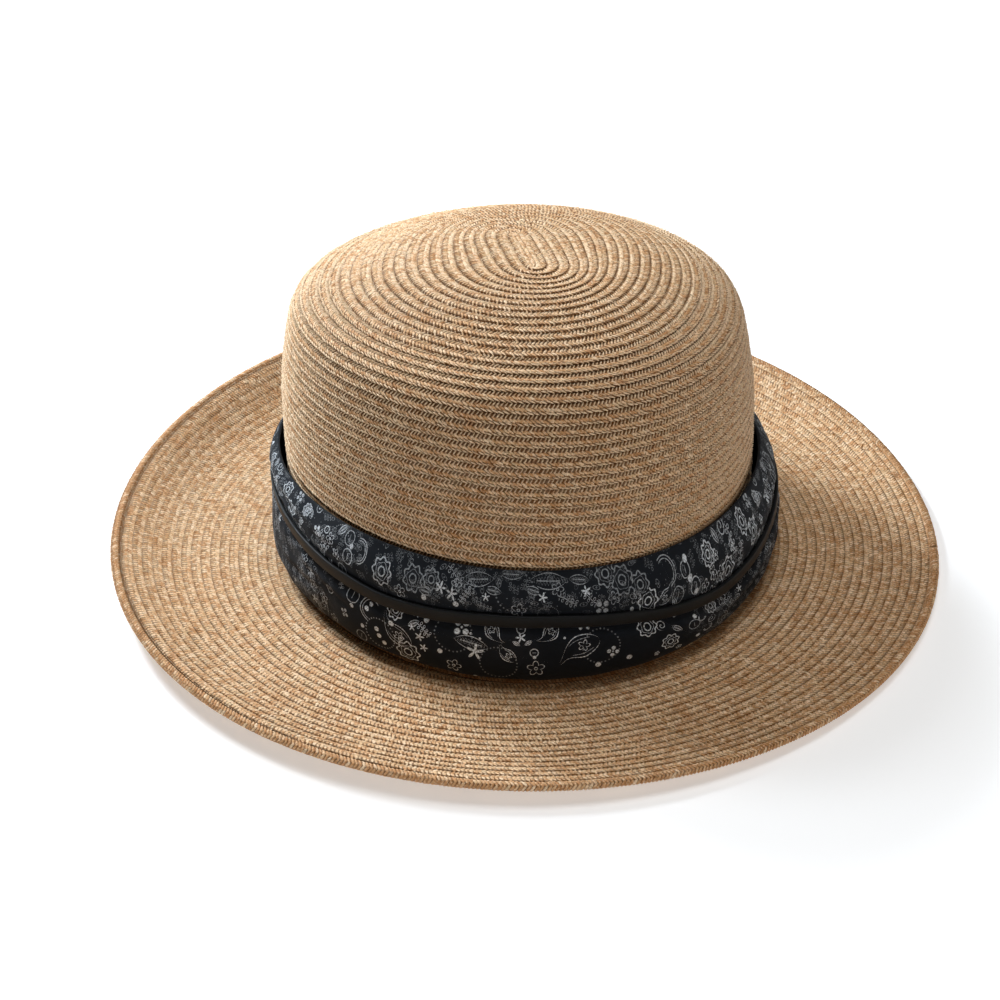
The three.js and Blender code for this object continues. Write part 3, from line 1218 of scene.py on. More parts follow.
@dataclass(frozen=True)
class CottonFinish:
    """Near-black cotton with a worn white paisley print."""

    cloth: Colour = (0.0062, 0.0086, 0.0125)
    dusty: Colour = (0.016, 0.018, 0.022)
    white: Colour = (0.82, 0.88, 0.93)
    thread: float = 0.42
    thread_depth: float = 0.05
    thread_share: float = 0.6
    slub_stretch: tuple[float, float] = (0.25, 2.2)
    light: tuple[float, float, float] = (0.72, 0.34, 0.24)
    roughness: float = 0.86
    roughness_by_ink: float = -0.08
    dust_scale: float = 42.0
    dust_range: tuple[float, float] = (0.42, 0.78)
    dust_share: float = 0.6
    ink_by_thread: float = 0.10
    worn_ink: float = 0.34
    fresh_ink: float = 0.78
    wear_size: float = 1.9
    wear_range: tuple[float, float] = (0.40, 0.56)
    shine: float = 0.12
    sheen: tuple[float, float] = (0.04, 0.5)
    figures: PaisleyPrint = PaisleyPrint()

    def material(self, name: str, whole: float, width: float) -> bpy.types.Material:
        """Builds the printed cotton.

        Args:
            name: the material's name.
            whole: the band's length in millimetres.
            width: the band's width in millimetres.

        Returns:
            The material.
        """
        shader = Shader(name)
        along, up = shader.lay()
        place = shader.object_place()
        warp = (along * (FULL_TURN / self.thread)).sin()
        weft = (up * (FULL_TURN / self.thread)).sin()
        weave = warp * weft * 0.5 + 0.5
        long, wide = self.slub_stretch
        slub = shader.noise(shader.vector(along * long, up * wide), 1.0, 2.0)
        dust = shader.noise(place, self.dust_scale, 3.0)
        cloth = shader.mix(dust.ramp(*self.dust_range) * self.dust_share, self.cloth, self.dusty)
        even, by_thread, by_slub = self.light
        cloth = shader.shade(cloth, even + by_thread * weave + by_slub * slub)
        wear_place = shader.vector(along * self.wear_size, up * self.wear_size)
        worn = shader.noise(wear_place, 1.0, 3.0)
        ink = self.figures.ink(shader, along, up, whole)
        kept = (self.worn_ink + self.fresh_ink * worn.ramp(*self.wear_range)).least(1.0)
        ink = ink * kept * (1.0 - self.ink_by_thread + self.ink_by_thread * weave)
        outside = up < width
        colour = shader.mix(ink * outside, cloth, self.white)
        height = weave * self.thread_share + slub * (1.0 - self.thread_share)
        rough = self.roughness + self.roughness_by_ink * ink
        return shader.surface(colour, rough, self.shine, height, self.thread_depth, self.sheen)


@dataclass(frozen=True)
class LeatherFinish:
    """Black lace leather with a fine grain, scuffed brownish in soft patches."""

    dye: Colour = (0.0050, 0.0060, 0.0068)
    scuffed: Colour = (0.0135, 0.0145, 0.0150)
    grain_depth: float = 0.008
    pore_scale: float = 1500.0
    pore_width: float = 0.35
    pore_share: float = 0.5
    crease_scale: float = 420.0
    patch_scale: float = 38.0
    scuffs: float = 0.55
    scuff_range: tuple[float, float] = (0.40, 0.75)
    light: tuple[float, float, float] = (0.75, 0.25, 0.2)
    roughness: float = 0.38
    rougher: tuple[float, float, float] = (0.16, 0.08, 0.05)
    shine: float = 0.16

    def material(self, name: str) -> bpy.types.Material:
        """Builds the leather.

        Args:
            name: the material's name.

        Returns:
            The material.
        """
        shader = Shader(name)
        place = shader.object_place()
        cells = shader.node(
            "ShaderNodeTexVoronoi",
            {"feature": "DISTANCE_TO_EDGE"},
            Vector=place,
            Scale=self.pore_scale,
        )
        pores = shader.signal(cells).ramp(0.0, self.pore_width)
        crease = shader.noise(place, self.crease_scale, 4.0)
        patch = shader.noise(place, self.patch_scale, 3.0)
        colour = shader.mix(patch.ramp(*self.scuff_range) * self.scuffs, self.dye, self.scuffed)
        even, by_pore, by_crease = self.light
        colour = shader.shade(colour, even + by_pore * pores + by_crease * crease)
        by_patch, by_crease, by_pore = self.rougher
        rough = self.roughness + by_patch * patch + by_crease * crease - by_pore * pores
        height = pores * self.pore_share + crease * (1.0 - self.pore_share)
        return shader.surface(colour, rough, self.shine, height, self.grain_depth)


@dataclass(frozen=True)
class FloorFinish:
    """The studio floor: pale, matt and very slightly uneven."""

    tone: Colour = (0.767, 0.782, 0.797)
    warmer: Colour = (0.772, 0.777, 0.782)
    cloud_scale: float = 1.3
    cloud_range: tuple[float, float] = (0.3, 0.7)
    glow: float = 0.40
    roughness: float = 0.9
    shine: float = 0.1

    def material(self, name: str) -> bpy.types.Material:
        """Builds the floor's material.

        Args:
            name: the material's name.

        Returns:
            The material.
        """
        shader = Shader(name)
        cloud = shader.noise(shader.object_place(), self.cloud_scale, 2.0)
        colour = shader.mix(cloud.ramp(*self.cloud_range), self.tone, self.warmer)
        return shader.surface(colour, self.roughness, self.shine, glow=self.glow)


# --- Sewn braid ---


@dataclass(frozen=True)
class StrandFamily:
    """One set of parallel strands of a braid.

    start and end are shares of the row's width, from its inner to its outer edge, and run is
    the distance along the row between them. spacing is a multiple of the braid's own pitch and
    dye is above 0 for a browner strand.
    """

    start: float
    end: float
    run: float
    width: float
    height: float
    lift: float
    phase: float = 0.0
    dye: float = 0.0
    spacing: float = 1.0


@dataclass
class BraidRun:
    """One length of braid sewn down a profile in a spiral, each row over the next."""

    MEASURES_A_TURN = 360
    WIDTH_SAMPLES = 2000
    ALONG_JITTER = 0.05
    SWAY_JITTER = 0.03
    SWAY_AT_END = 0.6
    LIFT_JITTER = 0.04
    WIDTH_JITTER = 0.07
    HEIGHT_JITTER = 0.1
    OVERLENGTH = 1.08
    TURN_AHEAD = 0.002
    SHARE_OUTWARD = 0.1

    place: Place
    profile: Profile
    row_widths: tuple[tuple[float, float], ...]
    row_count: float
    steps: int
    lap: float
    wall: float
    under_lap: float
    first_along: float = 0.0
    narrowest: float = 0.4
    start_angle: float = -math.pi / 2
    face: tuple[tuple[float, float], ...] = (
        (0, -0.5), (0.14, -0.34), (0.45, 0), (0.78, 0.34), (0.94, 0.38), (1, 0.12),
    )
    back: tuple[tuple[float, float], ...] = ((0.0, -0.5), (0.3, -0.3), (0.75, 0.2), (1.0, 0.5))
    _turns: np.ndarray = field(init=False)
    _lengths: np.ndarray = field(init=False)

    def __post_init__(self) -> None:
        """Measures the braid's length along its middle."""
        count = int((self.row_count + 1) * self.MEASURES_A_TURN)
        self._turns = np.linspace(-1, self.row_count, count)
        self._lengths = distances(self.point(self._turns, np.full(count, 0.5), 0.0))

    @property
    def length(self) -> float:
        """The braid's length in millimetres."""
        return float(self._lengths[-1])

    def along_at(self, row: np.ndarray) -> np.ndarray:
        """The distance down the profile at a row number.

        Args:
            row: row numbers from the inner end.

        Returns:
            The distances in millimetres.
        """
        fine = np.linspace(0, self.row_count, self.WIDTH_SAMPLES)
        known = np.array(self.row_widths)
        widths = np.interp(fine, known[:, 0], known[:, 1])
        total = np.concatenate([[0.0], np.cumsum((widths[1:] + widths[:-1]) / 2 * np.diff(fine))])
        return self.first_along + np.interp(row, fine, total)

    def row_at(self, turn: np.ndarray, share: np.ndarray) -> np.ndarray:
        """The row number of a place on the braid, held inside the profile.

        Args:
            turn: how many turns of the spiral lie before it.
            share: the share of the row's width, from the inner edge.

        Returns:
            The row number, with its fraction.
        """
        inner = np.clip(turn, 0, self.row_count)
        outer = np.clip(turn + 1, 0, self.row_count)
        return inner + (outer - inner) * share

    def point(self, turn: np.ndarray, share: np.ndarray, lift: np.ndarray | float) -> np.ndarray:
        """A place on the braid.

        Args:
            turn: how many turns of the spiral lie before it.
            share: the share of the row's width, from the inner edge.
            lift: how far it stands off the profile.

        Returns:
            The points, with x, y and z on the last axis.
        """
        along = np.minimum(self.along_at(self.row_at(turn, share)), self.profile.length)
        radius, height = self.profile.at(along, lift)
        return self.place(radius, height, self.start_angle + FULL_TURN * turn)

    def face_lift(self, share: np.ndarray) -> np.ndarray:
        """How far the outer face stands off the profile at a share of the width."""
        known = np.array(self.face)
        return self.lap * np.interp(share, known[:, 0], known[:, 1])

    def turn_at(self, length: np.ndarray) -> np.ndarray:
        """The turn at a distance along the braid."""
        return np.interp(length, self._lengths, self._turns)

    def sheet(
        self, name: str, outside: bpy.types.Material, inside: bpy.types.Material
    ) -> bpy.types.Object:
        """Builds and dresses the closed wall of sewn rows.

        Args:
            name: the piece's name.
            outside: the finish of the outer face.
            inside: the finish of the inner face.

        Returns:
            The mesh object.
        """
        count = int((self.row_count + 1) * self.steps) + 1
        turns = -1 + np.arange(count) / self.steps
        lengths = np.interp(turns, self._turns, self._lengths)
        points, faces, layers, finishes = [], [], [], []
        start = 0
        edges = []
        for columns, height, flip, finish in (
            (self.face, lambda h: self.lap * h, True, 0),
            (self.back, lambda h: self.under_lap * h - self.wall, False, 1),
        ):
            shares = np.array([c for c, _ in columns])
            lifts = height(np.array([h for _, h in columns]))
            grid = self.point(turns[:, None], shares[None, :], lifts[None, :])
            width = len(shares)
            lay = np.stack(np.broadcast_arrays(lengths[:, None], shares[None, :]), axis=-1)
            points.append(grid.reshape(-1, 3))
            layers.append(lay.reshape(-1, 2))
            made = quads(count, width)
            first = np.arange(count - self.steps - 1)
            inner = (first + self.steps) * width
            outer = first * width + width - 1
            riser = np.stack([outer, outer + width, inner + width, inner], axis=1)
            made = np.concatenate([made, riser]) + start
            faces.append(made[:, ::-1] if flip else made)
            finishes.append(np.full(len(made), finish))
            tail = np.arange(count - self.steps - 1, count)
            edges.append(start + tail * width + width - 1)
            start += count * width
        rim = np.stack([edges[0][:-1], edges[0][1:], edges[1][1:], edges[1][:-1]], axis=1)
        faces.append(rim)
        finishes.append(np.full(len(rim), 1))
        all_points, all_faces = np.concatenate(points), np.concatenate(faces)
        corner_uv = np.concatenate(layers)[all_faces].reshape(-1, 2)
        obj = new_object(name, all_points, all_faces, corner_uv)
        obj.data.materials.append(outside)
        obj.data.materials.append(inside)
        obj.data.polygons.foreach_set("material_index", np.concatenate(finishes).astype(np.int32))
        return obj

    def strands(
        self, family: StrandFamily, pitch: float, span: tuple[float, float], seed: int
    ) -> StrandSet:
        """Lays one family of strands along the braid.

        Args:
            family: the strands' lean and size.
            pitch: the distance between neighbouring strands.
            span: the first and last turn that get strands.
            seed: the seed of their small differences.

        Returns:
            The strands' middles, directions and sizes.
        """
        draw = np.random.default_rng(seed)
        low, high = np.interp(span, self._turns, self._lengths)
        pitch = pitch * family.spacing
        along = np.arange(low, high, pitch) + family.phase * pitch
        count = len(along)
        along = along + draw.normal(0, self.ALONG_JITTER * pitch, count)
        turn = self.turn_at(along)
        width = self.row_at(turn, np.ones(count)) - self.row_at(turn, np.zeros(count))
        sway = draw.normal(0, self.SWAY_JITTER, count)
        start = np.full(count, family.start) + sway
        end = np.full(count, family.end) + sway * self.SWAY_AT_END
        first = self.turn_at(along - family.run / 2)
        last = self.turn_at(along + family.run / 2)
        lift = family.lift + draw.normal(0, self.LIFT_JITTER, count)
        p0 = self.point(first, start, self.face_lift(start) + lift)
        p1 = self.point(last, end, self.face_lift(end) + lift)
        middle = (start + end) / 2
        stand = self.face_lift(middle) + lift
        centre = self.point(turn, middle, stand)
        ahead = self.point(turn + self.TURN_AHEAD, middle, stand)
        outward = self.point(turn, middle + self.SHARE_OUTWARD, stand)
        normal = np.cross(outward - centre, ahead - centre)
        normal = normal / np.linalg.norm(normal, axis=1, keepdims=True)
        axis = p1 - p0
        length = np.linalg.norm(axis, axis=1)
        size = np.stack(
            [
                length * self.OVERLENGTH,
                family.width * draw.normal(1, self.WIDTH_JITTER, count),
                family.height * draw.normal(1, self.HEIGHT_JITTER, count),
            ],
            axis=1,
        )
        keep = width > self.narrowest
        dye = np.full(count, family.dye)
        return StrandSet((p0 + p1)[keep] / 2, axis[keep], normal[keep], size[keep], dye[keep])


@dataclass
class StrandSet:
    """Strands to lay: their middles, directions, outward directions, sizes and dyes."""

    middle: np.ndarray
    axis: np.ndarray
    out: np.ndarray
    size: np.ndarray
    dye: np.ndarray

    @classmethod
    def joined(cls, sets: Sequence[StrandSet]) -> StrandSet:
        """Several sets in one, in their order."""
        kinds = ("middle", "axis", "out", "size", "dye")
        return cls(*(np.concatenate([getattr(one, kind) for one in sets]) for kind in kinds))


class StrandLayer:
    """Lays strands on points with Geometry Nodes and turns them into one plain mesh."""

    LENGTHWISE = 4
    CROSSWISE = 3
    END_DIP = 1.0
    SIDE_DIP = 0.95
    SHEET_SHARE = 0.86

    def __init__(self, material: bpy.types.Material, seed: int) -> None:
        """Keeps the finish and builds the tree that lays the strands.

        Args:
            material: the strands' finish.
            seed: the seed of the strands' colours.
        """
        self.material = material
        self.seed = seed
        self.tree = self._tree()

    def _tree(self) -> bpy.types.NodeTree:
        """Builds the node tree: one arched strand, set on every point.

        Returns:
            The tree.
        """
        tree = bpy.data.node_groups.new("Strand layer", "GeometryNodeTree")
        tree.is_modifier = True
        kinds = {"Geometry": "Geometry", "Finish": "Material"}
        kinds |= dict.fromkeys(("Points lengthwise", "Points crosswise", "Seed"), "Int")
        kinds |= dict.fromkeys(("Taper", "End dip", "Side dip"), "Float")
        face = tree.interface
        for name, kind in kinds.items():
            face.new_socket(name, in_out="INPUT", socket_type="NodeSocket" + kind)
        face.new_socket("Geometry", in_out="OUTPUT", socket_type="NodeSocketGeometry")
        nodes = Nodes(tree)
        group = nodes.node("NodeGroupInput")
        given = {name: nodes.signal(group, name) for name in kinds}
        grid = nodes.node(
            "GeometryNodeMeshGrid",
            Size_X=1.0,
            Size_Y=1.0,
            Vertices_X=given["Points lengthwise"],
            Vertices_Y=given["Points crosswise"],
        )
        position = nodes.signal(nodes.node("GeometryNodeInputPosition"))
        leaf = nodes.node(
            "GeometryNodeStoreNamedAttribute",
            {"data_type": "FLOAT_VECTOR", "domain": "POINT"},
            Geometry=nodes.signal(grid),
            Name="leaf",
            Value=position,
        )
        x, y, _ = nodes.axes(position)
        end, side = (x * 2.0).abs() ** 2.0, (y * 2.0).abs() ** 2.0
        narrow = 1.0 - end * given["Taper"]
        high = 1.0 - end * given["End dip"] - side * given["Side dip"]
        arch = nodes.node(
            "GeometryNodeSetPosition",
            Geometry=nodes.signal(leaf),
            Position=nodes.vector(x, y * narrow, high),
        )
        turn = nodes.node(
            "FunctionNodeAxesToRotation",
            {"primary_axis": "Z", "secondary_axis": "X"},
            Primary_Axis=self._kept(nodes, "out"),
            Secondary_Axis=self._kept(nodes, "axis"),
        )
        lay = nodes.node(
            "GeometryNodeInstanceOnPoints",
            Points=given["Geometry"],
            Instance=nodes.signal(arch),
            Rotation=nodes.signal(turn),
            Scale=self._kept(nodes, "size"),
        )
        lot = nodes.node("FunctionNodeRandomValue", {"data_type": "FLOAT"}, Seed=given["Seed"])
        tone = nodes.node(
            "GeometryNodeStoreNamedAttribute",
            {"data_type": "FLOAT", "domain": "INSTANCE"},
            Geometry=nodes.signal(lay),
            Name="tone",
            Value=nodes.signal(lot, 1),
        )
        real = nodes.node("GeometryNodeRealizeInstances", Geometry=nodes.signal(tone))
        dress = nodes.node(
            "GeometryNodeSetMaterial", Geometry=nodes.signal(real), Material=given["Finish"]
        )
        nodes.node("NodeGroupOutput", Geometry=nodes.signal(dress))
        return tree

    def _kept(self, nodes: Nodes, name: str) -> Signal:
        """Reads a vector kept on the points."""
        kind, settings = "GeometryNodeInputNamedAttribute", {"data_type": "FLOAT_VECTOR"}
        return nodes.signal(nodes.node(kind, settings, Name=name), "Attribute")

    def lay(self, name: str, strands: StrandSet, taper: float = 0.38) -> bpy.types.Object:
        """Lays the strands and gives them as one plain mesh.

        Args:
            name: the piece's name.
            strands: where they lie.
            taper: how much narrower a strand's ends are than its middle.

        Returns:
            The finished mesh object.
        """
        bed = bpy.data.meshes.new(name + "_bed")
        bed.vertices.add(len(strands.middle))
        bed.vertices.foreach_set("co", (strands.middle * MM).astype(np.float32).ravel())
        kept = {"axis": strands.axis, "out": strands.out, "size": strands.size * MM}
        for key, values in kept.items():
            layer = bed.attributes.new(key, "FLOAT_VECTOR", "POINT")
            layer.data.foreach_set("vector", values.astype(np.float32).ravel())
        dyes = bed.attributes.new("dye", "FLOAT", "POINT")
        dyes.data.foreach_set("value", strands.dye.astype(np.float32))
        holder = bpy.data.objects.new(name + "_bed", bed)
        bpy.context.collection.objects.link(holder)
        modifier = holder.modifiers.new("Strands", "NODES")
        modifier.node_group = self.tree
        values = {
            "Points lengthwise": self.LENGTHWISE,
            "Points crosswise": self.CROSSWISE,
            "Seed": self.seed,
            "Taper": taper,
            "End dip": self.END_DIP,
            "Side dip": self.SIDE_DIP,
            "Finish": self.material,
        }
        for item in self.tree.interface.items_tree:
            if item.item_type == "SOCKET" and item.in_out == "INPUT" and item.name in values:
                modifier[item.identifier] = values[item.name]
        graph = bpy.context.evaluated_depsgraph_get()
        mesh = bpy.data.meshes.new_from_object(
            holder.evaluated_get(graph), preserve_all_data_layers=True, depsgraph=graph
        )
        bpy.data.objects.remove(holder)
        mesh.name = name
        mesh.shade_smooth()
        self._spread(mesh, len(strands.middle))
        obj = bpy.data.objects.new(name, mesh)
        bpy.context.collection.objects.link(obj)
        return obj

    def _spread(self, mesh: bpy.types.Mesh, count: int) -> None:
        """Gives every strand a place of its own on a flat sheet, for the baked colours.

        Args:
            mesh: the strands' mesh.
            count: how many strands it holds.
        """
        leaf = np.empty(len(mesh.vertices) * 3, np.float32)
        mesh.attributes["leaf"].data.foreach_get("vector", leaf)
        vertex = np.empty(len(mesh.loops), np.int32)
        mesh.loops.foreach_get("vertex_index", vertex)
        number = vertex // (self.LENGTHWISE * self.CROSSWISE)
        across = max(1, round(math.sqrt(count / 2.0)))
        down = -(-count // across)
        local = leaf.reshape(-1, 3)[vertex, :2] * self.SHEET_SHARE + 0.5
        place = np.stack(
            [(number % across + local[:, 0]) / across, (number // across + local[:, 1]) / down],
            axis=1,
        )
        layer = mesh.uv_layers.new(name="OFBake")
        layer.uv.foreach_set("vector", place.astype(np.float32).ravel())


@dataclass
class Crown:
    """The crown: braid sewn in a spiral from an oval tip, over the shoulder, down to the foot."""

    form: HatForm
    wall: float = 1.9
    pitch: float = 1.4
    steps: int = 110
    lap: float = 0.95
    under_lap: float = 0.6
    narrowest: float = 0.12
    rows: float = 48.0
    first_turn: float = -0.95
    rows_shown: float = 38.5
    shoulder_row: float = 15.0
    wall_row: float = 26.0
    cut: tuple[tuple[float, float], ...] = (
        (0, 119.2), (15, 118.7), (30, 117.3), (45, 114.4), (57, 110.6), (68, 106.3), (75.3, 102.9),
        (79.9, 99.3), (82.2, 95), (83.6, 89), (85.2, 80), (86.6, 70), (87.1, 56), (87, 36),
        (87, 14), (88, 7), (90.2, 2.2),
    )
    row_widths: tuple[tuple[float, float], ...] = (
        (0, 4.5), (2, 4.4), (4, 4.2), (11, 4.1), (16, 3.95), (21, 3.8), (25, 3.55), (60, 3.55),
    )
    top_families: tuple[StrandFamily, ...] = (
        StrandFamily(0.60, 0.03, 1.2, 0.90, 0.42, 0.06, 0.0, -0.10),
        StrandFamily(0.46, 1.02, 2.0, 1.10, 0.36, 0.12, 0.35, 0.05),
    )
    wall_families: tuple[StrandFamily, ...] = (
        StrandFamily(0.50, 0.02, 1.1, 0.52, 0.60, 0.10, 0.0, -0.60),
        StrandFamily(0.42, 0.84, 2.2, 0.90, 0.30, 0.04, 0.35, 0.15),
        StrandFamily(0.80, 1.0, 2.2, 0.55, 0.50, 0.20, 0.1, -0.45, 1.35),
    )

    def braid(self) -> BraidRun:
        """Measures out the braid of the crown.

        Returns:
            The braid's run from the tip to the foot.
        """
        return BraidRun(
            place=self.form.crown,
            profile=Profile(self.cut),
            row_widths=self.row_widths,
            row_count=self.rows,
            steps=self.steps,
            lap=self.lap,
            wall=self.wall,
            under_lap=self.under_lap,
            narrowest=self.narrowest,
        )

    def build(
        self, shaded_gaps: bpy.types.Material, woven: bpy.types.Material, layer: StrandLayer
    ) -> list[bpy.types.Object]:
        """Builds and dresses the crown.

        Args:
            shaded_gaps: the finish of the straw between the strands, darkened as painted shade.
            woven: the finish of the inside.
            layer: what lays the strands.

        Returns:
            The crown's pieces.
        """
        run = self.braid()
        LOG.info("crown braid: %.2f m", run.length * MM)
        made = [run.sheet("crown_braid", shaded_gaps, woven)]
        parts = {
            "crown_top_strands": (self.first_turn, self.shoulder_row, self.top_families),
            "crown_shoulder_strands": (self.shoulder_row, self.wall_row, self.wall_families),
            "crown_wall_strands": (self.wall_row, self.rows_shown, self.wall_families),
        }
        for number, (name, (first, last, families)) in enumerate(parts.items()):
            sets = [
                run.strands(family, self.pitch, (first, last), 11 * number + order)
                for order, family in enumerate(families)
            ]
            made.append(layer.lay(name, StrandSet.joined(sets)))
        return [finish_piece(piece, "crown") for piece in made]


@dataclass
class Brim:
    """The brim: the braid runs on round the crown, flat at first and curled at the rim."""

    form: HatForm
    wall: float = 1.9
    pitch: float = 1.4
    steps: int = 144
    lap: float = 0.62
    under_lap: float = 0.5
    lap_room: float = 0.3
    taper: float = 0.2
    first_turn: float = -0.5
    bare_end: float = 0.42
    inner: float = 86.0
    outer: float = 153.6
    row_width: float = 3.55
    middle_row: float = 10.0
    families: tuple[StrandFamily, ...] = (
        StrandFamily(0.62, 0.0, 0.75, 1.34, 0.22, 0.02, 0.0, 0.10),
        StrandFamily(0.48, 1.0, 1.3, 1.30, 0.22, 0.05, 0.35, 0.14),
    )

    def build(
        self, shaded_gaps: bpy.types.Material, woven: bpy.types.Material, layer: StrandLayer
    ) -> list[bpy.types.Object]:
        """Builds and dresses the brim.

        Args:
            shaded_gaps: the finish of the straw between the strands, darkened as painted shade.
            woven: the finish of the underside.
            layer: what lays the strands.

        Returns:
            The brim's pieces.
        """
        rows = (self.outer - self.inner) / self.row_width
        run = BraidRun(
            place=self.form.brim,
            profile=Profile(((self.inner, self.wall), (self.outer, self.wall))),
            row_widths=((0.0, self.row_width), (rows, self.row_width)),
            row_count=rows,
            steps=self.steps,
            lap=self.lap,
            wall=self.wall - self.lap_room,
            under_lap=self.under_lap,
        )
        LOG.info("brim braid: %.2f m", run.length * MM)
        made = [run.sheet("brim_braid", shaded_gaps, woven)]
        spans = {
            "brim_inner_strands": (self.first_turn, self.middle_row),
            "brim_outer_strands": (self.middle_row, rows - self.bare_end),
        }
        for number, (name, span) in enumerate(spans.items()):
            sets = [
                run.strands(family, self.pitch, span, 31 + 10 * number + order)
                for order, family in enumerate(self.families)
            ]
            made.append(layer.lay(name, StrandSet.joined(sets), taper=self.taper))
        return [finish_piece(piece, "brim") for piece in made]


@dataclass
class EdgeRow:
    """The outermost row: the braid doubled over, with its strands in a zigzag."""

    ALONG_JITTER = 0.05
    WIDTH_JITTER = 0.08
    HEIGHT_JITTER = 0.05
    OVERLENGTH = 1.1
    STEP_ALONG = 0.2
    STEP_ROUND = 0.1
    FIRST_SEED = 51

    form: HatForm
    inner: float = 153.9
    outer: float = 156.8
    thickness: float = 2.2
    lift: float = 1.45
    pitch: float = 1.3
    steps: int = 420
    sides: int = 12
    samples: int = 3000
    stand: float = 0.12
    run: float = 1.5
    strand_width: float = 0.98
    strand_height: float = 0.42
    dye: float = 0.55
    dye_spread: float = 0.42
    hollow: float = 0.35
    crossings: tuple[tuple[float, float], ...] = (
        (52, 134), (208, 126), (216, 292), (372, 300), (-8, 60),
    )

    def section(self, turn: np.ndarray, angle: np.ndarray, stand: np.ndarray) -> np.ndarray:
        """A point of the row's rounded section.

        Args:
            turn: the angle round the section, from its inner side over the top.
            angle: the angle round the hat.
            stand: how far the point stands off the section.

        Returns:
            The points.
        """
        middle, half = (self.inner + self.outer) / 2, (self.outer - self.inner) / 2
        radius = middle - (half + stand) * np.cos(turn)
        above = self.lift + (self.thickness / 2 + stand) * np.sin(turn)
        return self.form.brim(radius, above, angle)

    def around(self) -> np.ndarray:
        """Measures the row's top.

        Returns:
            The distance along it at even angles round the hat.
        """
        fine = np.linspace(0, FULL_TURN, self.samples)
        top = np.full(self.samples, math.pi / 2)
        return distances(self.section(top, fine, np.zeros(self.samples)))

    def strands(self, turns: tuple[float, float], seed: int) -> StrandSet:
        """One family of strands that cross the row.

        Args:
            turns: the section angles at which they start and end, in degrees.
            seed: the seed of their small differences.

        Returns:
            The strands.
        """
        draw = np.random.default_rng(seed)
        start, end = math.radians(turns[0]), math.radians(turns[1])
        middle = (start + end) / 2
        fine = np.linspace(0, FULL_TURN, self.samples)
        lengths = self.around()
        count = int(lengths[-1] / self.pitch)
        along = np.arange(count) * lengths[-1] / count
        along = along + draw.normal(0, self.ALONG_JITTER, count)

        def at(length: np.ndarray, turn: float) -> np.ndarray:
            """A point of the row.

            Args:
                length: the distance along the row.
                turn: the section angle.

            Returns:
                The points.
            """
            angle = np.interp(length, lengths, fine, period=lengths[-1])
            return self.section(np.full(count, turn), angle, np.full(count, self.stand))

        first, last = at(along - self.run / 2, start), at(along + self.run / 2, end)
        centre = at(along, middle)
        ahead = at(along + self.STEP_ALONG, middle) - centre
        normal = np.cross(ahead, at(along, middle + self.STEP_ROUND) - centre)
        normal = -normal / np.linalg.norm(normal, axis=1, keepdims=True)
        axis = last - first
        length = np.linalg.norm(axis, axis=1)
        wide = draw.normal(self.strand_width, self.WIDTH_JITTER, count)
        high = draw.normal(self.strand_height, self.HEIGHT_JITTER, count)
        size = np.stack([length * self.OVERLENGTH, wide, high], axis=1)
        place = self.hollow * (first + last) / 2 + (1 - self.hollow) * centre
        flip = np.sign(np.sum(normal * (centre - at(along, middle + math.pi)), axis=1))
        dyes = self.dye + draw.normal(0, self.dye_spread, count)
        return StrandSet(place, axis, normal * flip[:, None], size, dyes)

    def build(self, shaded_gaps: bpy.types.Material, layer: StrandLayer) -> list[bpy.types.Object]:
        """Builds and dresses the edge row.

        Args:
            shaded_gaps: the finish of the straw between the strands, darkened as painted shade.
            layer: what lays the strands.

        Returns:
            The row's pieces.
        """
        angle = FULL_TURN * np.arange(self.steps) / self.steps
        turn = -FULL_TURN * np.arange(self.sides) / self.sides
        grid = self.section(turn[None, :], angle[:, None], np.zeros((self.steps, 1)))
        lengths = np.linspace(0, self.around()[-1], self.steps + 1)
        shares = np.arange(self.sides + 1) / self.sides
        core = closed_hoop(
            "brim_edge_core", grid, lengths, np.stack([shares[:-1], shares[1:]], axis=1)
        )
        core.data.materials.append(shaded_gaps)
        sets = [
            self.strands(turns, self.FIRST_SEED + order)
            for order, turns in enumerate(self.crossings)
        ]
        strands = layer.lay("brim_edge_strands", StrandSet.joined(sets))
        return [finish_piece(piece, "brim_edge") for piece in (core, strands)]


# --- Cotton band and leather lace ---


@dataclass(frozen=True)
class Fold:
    """One soft crease of the band: where it runs, how it leans and how deep it is."""

    degrees: float
    height: float
    reach: float
    width: float
    lean: float
    depth: float


